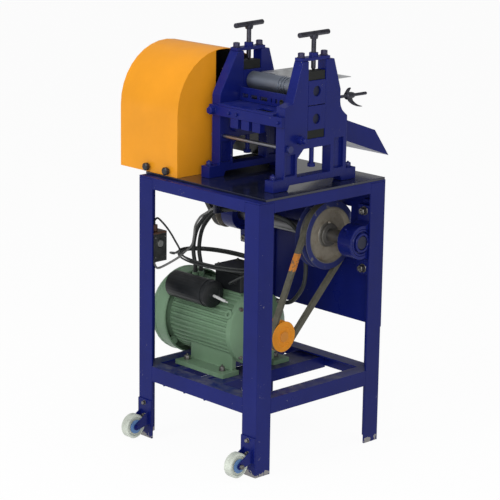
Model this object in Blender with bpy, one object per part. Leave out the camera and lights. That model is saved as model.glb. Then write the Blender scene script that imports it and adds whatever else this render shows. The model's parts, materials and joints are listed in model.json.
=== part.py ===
# Flat cable stripping machine: a pair of geared feed rollers in two cast side frames,
# on a welded angle-iron stand with a motor, a countershaft and two V-belt stages.
# +X runs along the rollers, the cable is fed in at -Y and leaves at +Y, +Z is up.
# Sizes are in metres. The origin lies on the floor, under the middle of the whole machine.

import bmesh
import bpy
from math import acos, atan2, cos, hypot, pi, radians, sin, sqrt
from mathutils import Matrix, Vector

for item in list(bpy.data.objects):
    bpy.data.objects.remove(item, do_unlink=True)

mm = 0.001
gap = 0.3 * mm            # left between pieces that touch
running = 0.3 * mm        # radial clearance of a shaft in its bearing

# Stand
table_side = 440 * mm
table_height = 700 * mm
table_inset = 22 * mm     # of the plate's front edge
plate_thickness = 6 * mm
leg_width = 50 * mm
leg_wall = 5 * mm
top_rail_width = 30 * mm
low_rail_width = 40 * mm
rail_wall = 4 * mm
low_rail_top = 197 * mm
panel_bottom = 306 * mm
panel_thickness = 2 * mm

# Motor rails, welded between the lower rails
motor_rail_drop = 12 * mm     # of their tops below the lower rails' top
motor_rail_depth = 32 * mm
drive_rail_width = 80 * mm
fan_rail_width = 44 * mm
slot_width = 12 * mm
slot_length = 90 * mm

# Casters on the front legs
caster_wheel_radius = 31.5 * mm
caster_wheel_width = 24 * mm
caster_axle_radius = 5 * mm
caster_lift = 8 * mm
caster_reach = 42 * mm
caster_plate = 50 * mm
caster_plate_height = 66 * mm
fork_wall = 3 * mm

# Side frames
frame_thickness = 30 * mm
frame_spacing = 199 * mm      # between their inner faces
frame_inner_right = 152 * mm
frame_y = 6.5 * mm            # centre line of slots, rollers and screws
foot_half = 144.5 * mm
foot_height = 30 * mm
foot_pad = 50 * mm
foot_relief = 13 * mm
body_half = 109.5 * mm
shoulder_height = 207 * mm
shoulder_steps = (2 * mm, 28 * mm)     # the left casting runs straight, the right one has a shoulder
top_front = 50.5 * mm
top_rear = 58.5 * mm
slot_half = 30 * mm
slot_floor = 120 * mm         # above the table
arch_half = 58 * mm
arch_top = 97 * mm
arch_chamfer = 22 * mm
arch_forward = 5.5 * mm
pocket_depth = 9 * mm
pocket_width = 33 * mm
pocket_height = 52 * mm

# Feed rollers and their gears
roller_axis_height = 168 * mm     # lower roller above the table
gear_module = 4 * mm
gear_teeth = 17
gear_width = 26 * mm
roller_radius = 22.5 * mm
journal_radius = 12.5 * mm
block_near = 33 * mm              # from a roller's axis towards the other roller
block_far = 27.5 * mm
pad_height = 22 * mm
pad_clearance = 26 * mm           # open slot between a pad and the bridge plate
groove_width = 4 * mm
groove_depth = 3 * mm
groove_pitch = 10 * mm
groove_count = 3

# Pressure screws and bridge plates
screw_radius = 6 * mm
screw_bar_radius = 6.5 * mm
screw_bar_length = 114 * mm
screw_bar_turns = (radians(10), radians(6))
screw_rise = 63.7 * mm            # bar above the bridge plate's base
bridge_thickness = 8 * mm
bridge_front = 1 * mm             # overhang past the frame's top in front
bridge_rear = 13 * mm             # set back from the frame's top at the rear
lock_nut_radius = 12 * mm
lock_nut_height = 10 * mm
jack_radius = 6 * mm
jack_drop = 55 * mm

# Feed and outfeed
crossbar_thickness = 10 * mm
crossbar_height = 25 * mm
crossbar_centre = 170.5 * mm      # above the table
clamp_block = 28 * mm
shelf_thickness = 5 * mm
guide_thickness = 6 * mm
guide_height = 34 * mm
inlet_height = 10 * mm
tie_rod_radius = 5 * mm
tie_rod_height = 103 * mm
outfeed_height = 254 * mm
outfeed_rear = 158 * mm
outfeed_thickness = 1.5 * mm
wing_height = 210 * mm            # above the table
wing_reach = 95 * mm
chute_slope = radians(19.5)
chute_wall = 50 * mm
chute_sheet = 1.5 * mm
chute_tip = 306 * mm
chute_floor_rear = 35 * mm        # height of the tip above the table

# Gear cover
cover_right = -102 * mm
cover_length = 219 * mm
cover_front = -196.5 * mm
cover_rear = 176 * mm
cover_arc = 155 * mm
cover_height = 314 * mm
cover_sheet = 2 * mm
cover_mouth = -68 * mm
cover_knob_radius = 10 * mm
cover_knob_height = 14 * mm       # above the table

# Countershaft and belt drives
shaft_y = 150 * mm
shaft_drop = 162 * mm             # axis below the table
shaft_radius = 17.5 * mm
shaft_left = -310 * mm
shaft_right = 213 * mm
pillow_height = 49 * mm
pillow_base = 180 * mm
pillow_base_thickness = 18 * mm
pillow_width = 45 * mm
pillow_radius = 44 * mm
bracket_length = 200 * mm
belt_top = 17 * mm
belt_bottom = 11 * mm
belt_depth = 11 * mm
groove_side = 0.5 * mm
belt_sink = 0.5 * mm
large_pulley_radius = 90 * mm
large_pulley_width = 40 * mm
motor_pulley_radius = 40 * mm
drive_face = 102 * mm             # outer face of both drive pulleys
cover_clearance = 9.16 * mm       # between the driven pulley and the cover's arc
driven_pulley_radius = (cover_arc - cover_sheet - cover_clearance
                        - hypot(cover_front + cover_arc - frame_y, cover_height - cover_arc - roller_axis_height))
roller_ratio = 0.5                # of the small pulley to the driven one
small_pulley_radius = roller_ratio * driven_pulley_radius
roller_pulley_width = 22 * mm
roller_belt_x = -293 * mm

# Motor
motor_y = -12 * mm
motor_axis_height = 112 * mm
motor_radius = 97 * mm
motor_fin_depth = 6 * mm
motor_fins = 44
motor_body_left = -227 * mm
motor_body_right = -5 * mm
motor_nose = 36 * mm
motor_shaft_radius = 14 * mm
motor_foot_span = 190 * mm
motor_foot_pitch = 134 * mm
motor_foot_first = -25 * mm
motor_foot_width = 48 * mm
motor_foot_ends = (20 * mm, 28 * mm)  # beyond the bolts at the fan end and the drive end
motor_foot_thickness = 12 * mm
cowl_left = -301 * mm
cowl_radius = 113 * mm
cowl_wall = 2.5 * mm
capacitor_radius = 35 * mm
capacitor_left = -212 * mm
capacitor_angle = radians(135)
capacitor_length = 152 * mm
gland_radius = 9 * mm
gland_rise = 16 * mm          # above the motor's body
terminal_length = 96 * mm
terminal_depth = 80 * mm
terminal_left = -108 * mm
terminal_front = -58 * mm
terminal_height = 61.5 * mm

# Switch box in the front left leg
switch_side = 39 * mm
switch_depth = 50 * mm
switch_height = 78 * mm
switch_bottom = 470 * mm
button_radius = 9 * mm
button_reach = 6 * mm

# Worked-out places
half = table_side / 2
rail_top = table_height - plate_thickness - gap
leg_top = rail_top - rail_wall - gap
frame_right = (frame_inner_right, frame_inner_right + frame_thickness)
frame_left = (frame_inner_right - frame_spacing - frame_thickness, frame_inner_right - frame_spacing)
frame_base = table_height + gap
lower_axis = table_height + roller_axis_height
upper_axis = lower_axis + gear_module * gear_teeth
frame_top = upper_axis + block_far + gap + pad_height + pad_clearance
motor_rail_top = low_rail_top - motor_rail_drop
motor_z = motor_rail_top + gap + motor_axis_height
crossbar_front = frame_y - body_half - gap - crossbar_thickness
crossbar_base = table_height + crossbar_centre - crossbar_height / 2
shelf_base = crossbar_base + crossbar_height + gap
guide_base = shelf_base + shelf_thickness + gap
caster_y = -half - caster_reach
caster_z = caster_lift + caster_wheel_radius
cover_left = cover_right - cover_length
shaft_z = table_height - shaft_drop
chute_low = table_height + chute_floor_rear

x_low = cover_left
x_high = half
y_low = caster_y - caster_wheel_radius
y_high = chute_tip
shift = Vector((-(x_low + x_high) / 2, -(y_low + y_high) / 2, 0))


def paint(name, colour, roughness, metallic=0.0):
    material = bpy.data.materials.new(name)
    material.use_nodes = True
    shader = material.node_tree.nodes["Principled BSDF"]
    shader.inputs["Base Color"].default_value = (*colour, 1)
    shader.inputs["Roughness"].default_value = roughness
    shader.inputs["Metallic"].default_value = metallic
    material.diffuse_color = (*colour, 1)
    return material


navy = paint("navy_enamel", (0.026, 0.032, 0.14), 0.3)
orange = paint("orange_enamel", (0.80, 0.31, 0.034), 0.35)
sage = paint("motor_green", (0.147, 0.25, 0.153), 0.45)
steel = paint("machined_steel", (0.30, 0.32, 0.35), 0.35, 1.0)
iron = paint("blackened_steel", (0.03, 0.03, 0.04), 0.45, 0.6)
casting = paint("bare_iron", (0.19, 0.18, 0.15), 0.5, 0.7)
rubber = paint("black_rubber", (0.025, 0.027, 0.027), 0.6)
belt_rubber = paint("belt_rubber", (0.09, 0.085, 0.06), 0.7)
black_plastic = paint("black_plastic", (0.02, 0.02, 0.022), 0.4)
pale_wheel = paint("pale_nylon", (0.58, 0.62, 0.55), 0.35)
grey_sheet = paint("galvanised_sheet", (0.45, 0.45, 0.46), 0.4, 0.8)
grey_cord = paint("grey_cord", (0.22, 0.22, 0.22), 0.6)
red_plastic = paint("red_plastic", (0.45, 0.03, 0.02), 0.4)


# Meshes are drawn in the stand's own frame, where X and Y are 0 at the table's centre.

def loft(rings, closed=False):
    # skins rings of points; ends are capped unless the rings form a loop
    bm = bmesh.new()
    rows = [[bm.verts.new(point) for point in ring] for ring in rings]
    count = len(rows[0])
    pairs = list(zip(rows, rows[1:]))
    if closed:
        pairs.append((rows[-1], rows[0]))
    for low, high in pairs:
        for i in range(count):
            j = (i + 1) % count
            bm.faces.new((low[i], low[j], high[j], high[i]))
    if not closed:
        bm.faces.new(rows[0])
        bm.faces.new(rows[-1])
    bmesh.ops.recalc_face_normals(bm, faces=bm.faces)
    return bm


def prism(outline, axis, low, high):
    # an outline drawn in the other two axes, in X, Y, Z order, extruded along one axis
    def lift(point, along):
        spot = list(point)
        spot.insert("XYZ".index(axis), along)
        return spot
    return loft([[lift(p, low) for p in outline], [lift(p, high) for p in outline]])


def box(x, y, z):
    return prism([(x[0], y[0]), (x[1], y[0]), (x[1], y[1]), (x[0], y[1])], "Z", z[0], z[1])


def turned(profile, axis, centre, sides):
    # profile of (along, radius) from end to end, revolved round an axis through a centre
    bm = bmesh.new()
    index = "XYZ".index(axis)
    side = [Vector((0, 1, 0)), Vector((0, 0, 1)), Vector((1, 0, 0))][index]
    along = Vector([1.0 if i == index else 0.0 for i in range(3)])
    foot = Vector(centre)
    foot[index] = 0
    points = [bm.verts.new(foot + along * a + side * r) for a, r in profile]
    edges = [bm.edges.new(pair) for pair in zip(points, points[1:])]
    if profile[0][1] > 0 and profile[-1][1] > 0:
        edges.append(bm.edges.new((points[-1], points[0])))
    bmesh.ops.spin(bm, geom=points + edges, cent=foot, axis=along, angle=2 * pi, steps=sides,
                   use_merge=True)
    bmesh.ops.remove_doubles(bm, verts=bm.verts, dist=0.005 * mm)
    bmesh.ops.recalc_face_normals(bm, faces=bm.faces)
    return bm


def rod(axis, low, high, centre, radius, sides=24):
    return turned([(low, 0), (low, radius), (high, radius), (high, 0)], axis, centre, sides)


def merge(*parts):
    # several separate closed bodies in one mesh, used for cutters
    whole = bmesh.new()
    for part in parts:
        mesh = bpy.data.meshes.new("part")
        part.to_mesh(mesh)
        whole.from_mesh(mesh)
        bpy.data.meshes.remove(mesh)
    return whole


def settle(bm, name, origin):
    bmesh.ops.translate(bm, verts=bm.verts, vec=-Vector(origin))
    mesh = bpy.data.meshes.new(name)
    bm.to_mesh(mesh)
    bm.free()
    piece = bpy.data.objects.new(name, mesh)
    piece.location = Vector(origin) + shift
    bpy.context.scene.collection.objects.link(piece)
    return piece


def build(name, bm, material, steps=(), origin=(0, 0, 0)):
    # steps are ("DIFFERENCE" or "UNION", mesh) in the order they are made
    piece = settle(bm, name, origin)
    piece.data.shade_smooth()
    piece.data.set_sharp_from_angle(angle=radians(35))
    piece.data.materials.append(material)
    for number, (operation, tool) in enumerate(steps):
        helper = settle(tool, "%s_tool_%d" % (name, number), origin)
        helper.hide_render = True
        helper.display_type = "WIRE"
        boolean = piece.modifiers.new("boolean", "BOOLEAN")
        boolean.operation = operation
        boolean.solver = "EXACT"
        boolean.object = helper
    return piece


def cut(tool):
    return ("DIFFERENCE", tool)


def add(tool):
    return ("UNION", tool)


def arc(centre, radius, start, stop, steps):
    return [(centre[0] + radius * cos(start + (stop - start) * i / steps),
             centre[1] + radius * sin(start + (stop - start) * i / steps)) for i in range(steps + 1)]


# Stand

corners = {"front_left": (-1, -1), "front_right": (1, -1), "rear_left": (-1, 1), "rear_right": (1, 1)}


def angle_outline(corner, grow=0.0):
    # an L section with its heel on the stand's outer corner
    inner = leg_width + grow
    wall = leg_wall + grow
    outline = [(-grow, -grow), (inner, -grow), (inner, wall), (wall, wall), (wall, inner), (-grow, inner)]
    return [(corner[0] * (half - a), corner[1] * (half - b)) for a, b in outline]


def angle_ring(width, top):
    # four mitred angle rails in one ring: a flange on top and one down the outside
    section = [(0, top), (width, top), (width, top - rail_wall), (rail_wall, top - rail_wall),
               (rail_wall, top - width), (0, top - width)]
    order = [(-1, -1), (1, -1), (1, 1), (-1, 1)]
    return loft([[(sx * (half - d), sy * (half - d), z) for d, z in section] for sx, sy in order], True)


def leg_cutter(top):
    return merge(*[prism(angle_outline(c, gap), "Z", -gap, top) for c in corners.values()])


def bracket_box(side):
    # the plate that carries a pillow block, welded to a rear leg
    y = (shaft_y + pillow_height + gap, half - leg_wall + 1 * mm)
    z = (shaft_z - bracket_length / 2, shaft_z + bracket_length / 2)
    if side > 0:
        return box((shaft_right - pillow_width - 2 * mm, half - leg_wall + 1 * mm), y, z)
    return box((-half - pillow_width - 4 * mm, -half + 1 * mm), y, z)


def make_stand():
    for name, corner in corners.items():
        steps = []
        if corner[1] > 0:
            steps.append(add(bracket_box(corner[0])))
        build("leg_" + name, prism(angle_outline(corner), "Z", 0, leg_top), navy, steps)
    build("top_frame", angle_ring(top_rail_width, rail_top), navy, [cut(leg_cutter(leg_top + gap))])
    rails = []
    slots = []
    reach = half - rail_wall + 1 * mm
    wall = rail_wall
    for centre, width in ((motor_foot_first + 14 * mm, drive_rail_width),
                          (motor_foot_first - motor_foot_pitch + 12 * mm, fan_rail_width)):
        a, b = centre - width / 2, centre + width / 2
        low, high = motor_rail_top - motor_rail_depth, motor_rail_top
        outline = [(a, low), (a + wall, low), (a + wall, high - wall), (b - wall, high - wall),
                   (b - wall, low), (b, low), (b, high), (a, high)]
        rails.append(add(prism(outline, "Y", -reach, reach)))
    for x in (motor_foot_first, motor_foot_first - motor_foot_pitch):
        for y in (motor_y - motor_foot_span / 2, motor_y + motor_foot_span / 2):
            slots.append(box((x - slot_width / 2, x + slot_width / 2),
                             (y - slot_length / 2, y + slot_length / 2),
                             (motor_rail_top - 2 * wall, motor_rail_top + wall)))
    build("lower_frame", angle_ring(low_rail_width, low_rail_top), navy,
          [cut(leg_cutter(low_rail_top + leg_wall))] + rails + [cut(merge(*slots))])
    plate = box((-half, half), (-half + table_inset, half), (table_height - plate_thickness, table_height))
    clip = clip_box()
    hole = rod("X", clip_x - 20 * mm, clip_x + 20 * mm, (0, clip_y, clip_z), motor_cable_radius + 1.2 * mm, 16)
    build("table_top", plate, navy, [add(clip), cut(hole)])
    window = box((drive_face - large_pulley_width - 8 * mm, drive_face + 3 * mm),
                 (half - 1 * mm, half + panel_thickness + 2 * mm), (shaft_z - 66 * mm, shaft_z + 66 * mm))
    build("back_panel", box((-half, half), (half + gap, half + gap + panel_thickness),
                            (panel_bottom, rail_top)), navy, [cut(window)])


# Casters

def make_casters():
    for side, x in (("left", -half + leg_width / 2), ("right", half - leg_width / 2)):
        face = -half - gap
        plate = box((x - caster_plate / 2, x + caster_plate / 2), (face - fork_wall, face),
                    (caster_z - 2 * mm, caster_z - 2 * mm + caster_plate_height))
        arms = []
        tip = 9 * mm
        root = 24 * mm
        for direction in (-1, 1):
            inner = x + direction * (caster_wheel_width / 2 + 2 * mm)
            outer = inner + direction * fork_wall
            outline = ([(face - 1 * mm, caster_z + root + 12 * mm)]
                       + arc((caster_y, caster_z), tip, pi * 0.62, pi * 1.45, 6)
                       + [(face - 1 * mm, caster_z)])
            arms.append(add(prism(outline, "X", min(inner, outer), max(inner, outer))))
        axle_half = caster_wheel_width / 2 + 2 * mm + fork_wall + 4 * mm
        axle = rod("X", x - axle_half, x + axle_half, (0, caster_y, caster_z), caster_axle_radius, 12)
        build("caster_fork_" + side, plate, navy, arms + [add(axle)])
        w = caster_wheel_width / 2
        r = caster_wheel_radius
        bore = caster_axle_radius + running
        wheel = turned([(-w, bore), (-w, 12 * mm), (-w + 4 * mm, 14 * mm), (-w + 4 * mm, r - 8 * mm),
                        (-w, r - 6 * mm), (-w, r - 3 * mm), (-w + 3 * mm, r), (w - 3 * mm, r),
                        (w, r - 3 * mm), (w, r - 6 * mm), (w - 4 * mm, r - 8 * mm),
                        (w - 4 * mm, 14 * mm), (w, 12 * mm), (w, bore)], "X", (0, 0, 0), 32)
        bmesh.ops.translate(wheel, verts=wheel.verts, vec=(x, caster_y, caster_z))
        build("caster_wheel_" + side, wheel, pale_wheel, origin=(x, caster_y, caster_z))


# Side frames and what they carry

def frame_outline(shoulder_step):
    # one casting seen along X, from the front foot up, over the open slot and down the rear
    y, base, top = frame_y, frame_base, frame_top
    foot = table_height + foot_height
    shoulder = table_height + shoulder_height
    seat = y + wing_seat
    relief = table_height + foot_relief
    pad = foot_half - foot_pad
    return [(y - foot_half, base), (y - foot_half, foot), (y - body_half, foot),
            (y - body_half, shoulder - 2 * mm), (y - body_half + shoulder_step, shoulder + 6 * mm),
            (y - top_front, top), (y - slot_half, top),
            (y - slot_half, table_height + slot_floor), (y + slot_half, table_height + slot_floor),
            (y + slot_half, top), (y + top_rear, top), (seat, shoulder + 26 * mm),
            (seat, shoulder - 6 * mm), (seat + 2 * mm, shoulder - 16 * mm),
            (seat + 8 * mm, shoulder - 27 * mm), (seat + 18 * mm, shoulder - 36 * mm),
            (y + body_half, shoulder - 42 * mm), (y + body_half, foot), (y + foot_half, foot),
            (y + foot_half, base), (y + pad, base), (y + pad - 6 * mm, relief),
            (y - pad + 6 * mm, relief), (y - pad, base)]


def frame_openings(low, high):
    # arch, casting pockets and the tie rod's hole
    floor = table_height + foot_height
    arch_z = table_height + arch_top
    front, rear = frame_y - arch_forward - arch_half, frame_y - arch_forward + arch_half
    arch = [(front, floor), (rear, floor), (rear, arch_z), (front + arch_chamfer, arch_z),
            (front, arch_z - arch_chamfer)]
    cutters = [prism(arch, "X", low - 1 * mm, high + 1 * mm)]
    for face, inward in ((low, 1), (high, -1)):
        ends = sorted((face - inward * 1 * mm, face + inward * pocket_depth))
        for middle, tall in (((front + frame_y - body_half) / 2, pocket_height),
                             ((rear + frame_y + body_half) / 2, pocket_height + 24 * mm)):
            cutters.append(box(ends, (middle - pocket_width / 2, middle + pocket_width / 2),
                               (floor + 6 * mm, floor + 6 * mm + tall)))
    cutters.append(rod("X", low - 1 * mm, high + 1 * mm, (0, tie_rod_y, table_height + tie_rod_height),
                       tie_rod_radius + gap, 16))
    return merge(*cutters)


tie_rod_y = frame_y - body_half + 15 * mm
wing_seat = body_half - 26 * mm       # rear face of the frame under the shoulder, from its centre line


def make_frames():
    for side, (low, high), step, turn, lug_reach in (
            ("left", frame_left, shoulder_steps[0], screw_bar_turns[0], 8 * mm),
            ("right", frame_right, shoulder_steps[1], screw_bar_turns[1], 16 * mm)):
        middle = (low + high) / 2
        jack_hole = rod("Z", table_height + arch_top - 1 * mm, table_height + slot_floor + 1 * mm,
                        (middle, frame_y, 0), jack_radius + gap, 16)
        steps = [cut(frame_openings(low, high)), cut(jack_hole)]
        lug = (0, frame_y - arch_half - 1.5 * mm, table_height + slot_floor + 2 * mm)
        steps.append(add(rod("X", high - 1 * mm, high + lug_reach, lug, 11 * mm, 16)))
        build("side_frame_" + side, prism(frame_outline(step), "X", low, high), navy, steps)
        # bearing blocks in the slot, with the jack screw under the lower one
        inner = slot_half - gap
        y_range = (frame_y - inner, frame_y + inner)
        for name, centre, down, up in (("lower", lower_axis, block_far, block_near),
                                       ("upper", upper_axis, block_near, block_far)):
            block = box((low, high), y_range, (centre - down, centre + up))
            bore = rod("X", low - 1 * mm, high + 1 * mm, (0, frame_y, centre), journal_radius + running, 24)
            steps = [cut(bore)]
            if name == "lower":
                base = centre - down
                head = table_height + jack_drop
                steps.append(add(rod("Z", head, base + 2 * mm, (middle, frame_y, 0), jack_radius, 16)))
                steps.append(add(rod("Z", head - 8 * mm, head + 1 * mm, (middle, frame_y, 0),
                                     10 * mm, 6)))
                # the pad it stands on, down to the slot's floor
                steps.append(add(box((low + 2 * mm, high - 2 * mm), (y_range[0] + 1 * mm, y_range[1] - 1 * mm),
                                     (table_height + slot_floor + gap, base + 1 * mm))))
            build("%s_block_%s" % (name, side), block, navy, steps)
        pad_base = upper_axis + block_far + gap
        pad_top = pad_base + pad_height
        pad = box((low + 2 * mm, high - 2 * mm), (y_range[0] + 1 * mm, y_range[1] - 1 * mm),
                  (pad_base, pad_top))
        build("pressure_pad_" + side, pad, iron)
        # bridge plate over the slot, with its lock nut
        bridge_base = frame_top + gap
        plate = box((low + 2 * mm, high - 2 * mm),
                    (frame_y - top_front - bridge_front, frame_y + top_rear - bridge_rear),
                    (bridge_base, bridge_base + bridge_thickness))
        nut = rod("Z", bridge_base + 1 * mm, bridge_base + bridge_thickness + lock_nut_height,
                  (middle, frame_y, 0), lock_nut_radius, 6)
        hole = rod("Z", bridge_base - 1 * mm, bridge_base + 40 * mm, (middle, frame_y, 0),
                   screw_radius + running, 24)
        build("bridge_plate_" + side, plate, navy, [add(nut), cut(hole)])
        # pressure screw with its cross bar
        bar_z = bridge_base + screw_rise
        tip = pad_top + gap
        shank = turned([(tip, 0), (tip, 2 * mm), (tip + 6 * mm, screw_radius),
                        (bar_z - 13 * mm, screw_radius), (bar_z - 13 * mm, 9 * mm),
                        (bar_z - 6 * mm, 11 * mm), (bar_z, 9 * mm), (bar_z, 0)],
                       "Z", (middle, frame_y, 0), 20)
        bar = turned([(-screw_bar_length / 2, 0), (-screw_bar_length / 2, screw_bar_radius - 1 * mm),
                      (-screw_bar_length / 2 + 1 * mm, screw_bar_radius),
                      (screw_bar_length / 2 - 1 * mm, screw_bar_radius),
                      (screw_bar_length / 2, screw_bar_radius - 1 * mm), (screw_bar_length / 2, 0)],
                     "Y", (middle, 0, bar_z), 16)
        bmesh.ops.translate(bar, verts=bar.verts, vec=(0, frame_y, 0))
        bmesh.ops.rotate(bar, verts=bar.verts, cent=(middle, frame_y, bar_z), matrix=Matrix.Rotation(turn, 3, "Z"))
        build("pressure_screw_" + side, shank, iron, [add(bar)], (middle, frame_y, tip))


# Rollers, gears and feed parts

def roller_profile(left_end):
    right = frame_right[0] - 2 * mm
    left = frame_left[1] + 2 * mm
    last = frame_right[1] - 5 * mm
    points = [(left_end, 0), (left_end, journal_radius), (left, journal_radius), (left, roller_radius)]
    first = right - 84 * mm
    for i in range(groove_count):
        start = first + i * groove_pitch
        points += [(start, roller_radius), (start, roller_radius - groove_depth),
                   (start + groove_width, roller_radius - groove_depth), (start + groove_width, roller_radius)]
    return points + [(right, roller_radius), (right, journal_radius), (last, journal_radius), (last, 0)]


def gear_outline(centre, turn):
    # straight-flanked teeth; turn places the first tooth
    pitch = 2 * pi / gear_teeth
    pitch_radius = gear_module * gear_teeth / 2
    tip = pitch_radius + 0.9 * gear_module
    root = pitch_radius - 1.15 * gear_module
    points = []
    for i in range(gear_teeth):
        middle = turn + i * pitch
        for radius, share in ((root, -0.29), (tip, -0.08), (tip, 0.08), (root, 0.29)):
            angle = middle + share * pitch
            points.append((centre[0] + radius * cos(angle), centre[1] + radius * sin(angle)))
    return points


def make_rollers():
    gear_right = frame_left[0] - 26 * mm
    gear_left = gear_right - gear_width
    lower = (0, frame_y, lower_axis)
    upper = (0, frame_y, upper_axis)
    shaft_end = roller_belt_x - roller_pulley_width / 2 - 6 * mm
    build("lower_roller", turned(roller_profile(shaft_end), "X", lower, 32), steel, origin=lower)
    build("upper_roller", turned(roller_profile(gear_left - 6 * mm), "X", upper, 32), steel, origin=upper)
    pitch = 2 * pi / gear_teeth
    for name, centre, turn in (("lower_gear", lower, pi / 2 + pitch / 2), ("upper_gear", upper, -pi / 2)):
        blank = prism(gear_outline(centre[1:], turn), "X", gear_left, gear_right)
        bore = rod("X", gear_left - 1 * mm, gear_right + 1 * mm, centre, journal_radius + gap, 24)
        build(name, blank, casting, [cut(bore)], centre)


inlets = [(-28 * mm, 20 * mm), (3 * mm, 24 * mm), (38 * mm, 27 * mm), (66 * mm, 5 * mm),
          (83 * mm, 8 * mm), (102 * mm, 13 * mm)]      # centre and width of each cable inlet


def make_feed():
    inside = (frame_left[1] + gap, frame_right[0] - gap)
    bar_y = (crossbar_front, crossbar_front + crossbar_thickness)
    bar = box((frame_left[0], frame_right[1]), bar_y, (crossbar_base, crossbar_base + crossbar_height))
    blocks = []
    for x in (14 * mm, 53 * mm, 92 * mm):
        blocks.append(add(box((x - clamp_block / 2, x + clamp_block / 2),
                              (bar_y[0] + 1 * mm, bar_y[1] + 8 * mm),
                              (crossbar_base - 24 * mm, crossbar_base + 1 * mm))))
    build("front_crossbar", bar, navy, blocks)
    guide_front = frame_y - roller_radius - 20 * mm
    shelf_rear = guide_front + guide_thickness
    shelf = box(inside, (bar_y[0], shelf_rear), (shelf_base, shelf_base + shelf_thickness))
    window = box((75 * mm, 125 * mm), (bar_y[1] + 4 * mm, guide_front - 34 * mm),
                 (shelf_base - 1 * mm, shelf_base + 2 * shelf_thickness))
    build("feed_shelf", shelf, navy, [cut(window)])
    guide = box(inside, (guide_front, shelf_rear), (guide_base, guide_base + guide_height))
    middle = (lower_axis + upper_axis) / 2
    holes = [box((x - w / 2, x + w / 2), (guide_front - 1 * mm, shelf_rear + 1 * mm),
                 (middle - inlet_height / 2, middle + inlet_height / 2)) for x, w in inlets]
    build("feed_guide", guide, navy, [cut(merge(*holes))])
    left, right = frame_left[0] - gap, frame_right[1] + gap
    nut = 8 * mm
    r = tie_rod_radius
    build("tie_rod", turned([(left - nut, 0), (left - nut, 9 * mm), (left, 9 * mm), (left, r), (right, r),
                             (right, 9 * mm), (right + nut, 9 * mm), (right + nut, 0)],
                            "X", (0, tie_rod_y, table_height + tie_rod_height), 12), steel)


def make_outfeed():
    inside = (frame_left[1] + gap, frame_right[0] - gap)
    height = table_height + outfeed_height
    front = frame_y + roller_radius + 8 * mm
    lip = 14 * mm
    t = outfeed_thickness
    plate = box(inside, (front, outfeed_rear), (height - t, height))
    flanges = [add(box(x, (front, frame_y + top_rear), (height - lip, height - t / 2)))
               for x in ((inside[0], inside[0] + t), (inside[1] - t, inside[1]))]
    build("outfeed_plate", plate, grey_sheet, flanges)
    # tray on a slope: its bottom edge, top edge and raked end seen along X
    front = frame_y + roller_radius + 14 * mm
    rise = sin(chute_slope) / cos(chute_slope)
    rake = 54 * mm
    tall = chute_wall / cos(chute_slope)

    def tray(grow, floor, back):
        low = [(front - grow, chute_low + (chute_tip - front + grow) * rise + floor),
               (chute_tip + back, chute_low - back * rise + floor)]
        high = [(chute_tip - rake + back, chute_low + (rake - back) * rise + tall + grow),
                (front - grow, chute_low + (chute_tip - front + grow) * rise + tall + grow)]
        return low + high
    sheet = chute_sheet
    hollow = prism(tray(1 * mm, sheet / cos(chute_slope), 40 * mm), "X", inside[0] + sheet, inside[1] - sheet)
    build("discharge_chute", prism(tray(0, 0, 0), "X", *inside), navy, [cut(hollow)])
    # wing screws in the rear edges of the side frames
    for name, (low, high) in (("left", frame_left), ("right", frame_right)):
        x = (low + high) / 2
        z = table_height + wing_height
        start = frame_y + wing_seat + gap
        end = start + wing_reach
        stud = rod("Y", start, end, (x, 0, z), 5 * mm, 12)
        hub = rod("Y", end - 24 * mm, end - 8 * mm, (x, 0, z), 9 * mm, 12)
        base = end - 24 * mm
        wing = [(x - 8 * mm, base + 14 * mm), (x - 20 * mm, base + 8 * mm), (x - 32 * mm, base - 6 * mm),
                (x - 27 * mm, base - 14 * mm), (x - 14 * mm, base - 2 * mm), (x, base + 2 * mm),
                (x + 14 * mm, base - 2 * mm), (x + 27 * mm, base - 14 * mm), (x + 32 * mm, base - 6 * mm),
                (x + 20 * mm, base + 8 * mm), (x + 8 * mm, base + 14 * mm)]
        build("wing_screw_" + name, stud, iron,
              [add(hub), add(prism(wing, "Z", z - 3 * mm, z + 3 * mm))], (x, start, z))


# Gear cover

def cover_outline(inset, floor, front=None):
    # up the front, over a half circle and down a wall that leans back clear of the belt
    r = cover_arc - inset
    centre = (cover_front + cover_arc, table_height + cover_height - cover_arc)
    start = pi
    if front is None:
        front = cover_front + inset
    else:
        start = acos((front - centre[0]) / r)
    return [(front, floor)] + arc(centre, r, start, 0, 18) + [(cover_rear - inset, floor)]


def make_cover():
    floor = table_height + gap
    skin = prism(cover_outline(0, floor), "X", cover_left, cover_right)
    hollow = prism(cover_outline(cover_sheet, floor - 1 * mm), "X",
                   cover_left + cover_sheet, cover_right - cover_sheet)
    mouth = prism(cover_outline(cover_sheet, floor - 1 * mm, cover_mouth), "X",
                  cover_right - 2 * cover_sheet, cover_right + 1 * mm)
    knob_z = table_height + cover_knob_height
    holes = [rod("Y", cover_front - 1 * mm, cover_front + cover_sheet + 1 * mm, (x, 0, knob_z),
                 4 * mm + gap, 12) for x in knob_places]
    build("gear_cover", skin, orange, [cut(hollow), cut(mouth), cut(merge(*holes))])
    for name, x in zip(("left", "right"), knob_places):
        y = cover_front - gap
        profile = [(y - 14 * mm, 0), (y - 14 * mm, 7 * mm), (y - 12 * mm, cover_knob_radius),
                   (y - 4 * mm, cover_knob_radius), (y - 3 * mm, 6 * mm), (y, 6 * mm), (y, 4 * mm),
                   (y + 12 * mm, 4 * mm), (y + 12 * mm, 0)]
        build("cover_knob_" + name, turned(profile, "Y", (x, 0, knob_z), 16), black_plastic,
              origin=(x, y, knob_z))


knob_places = (-212 * mm, -137 * mm)


# Shafts, pulleys and belts

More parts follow.
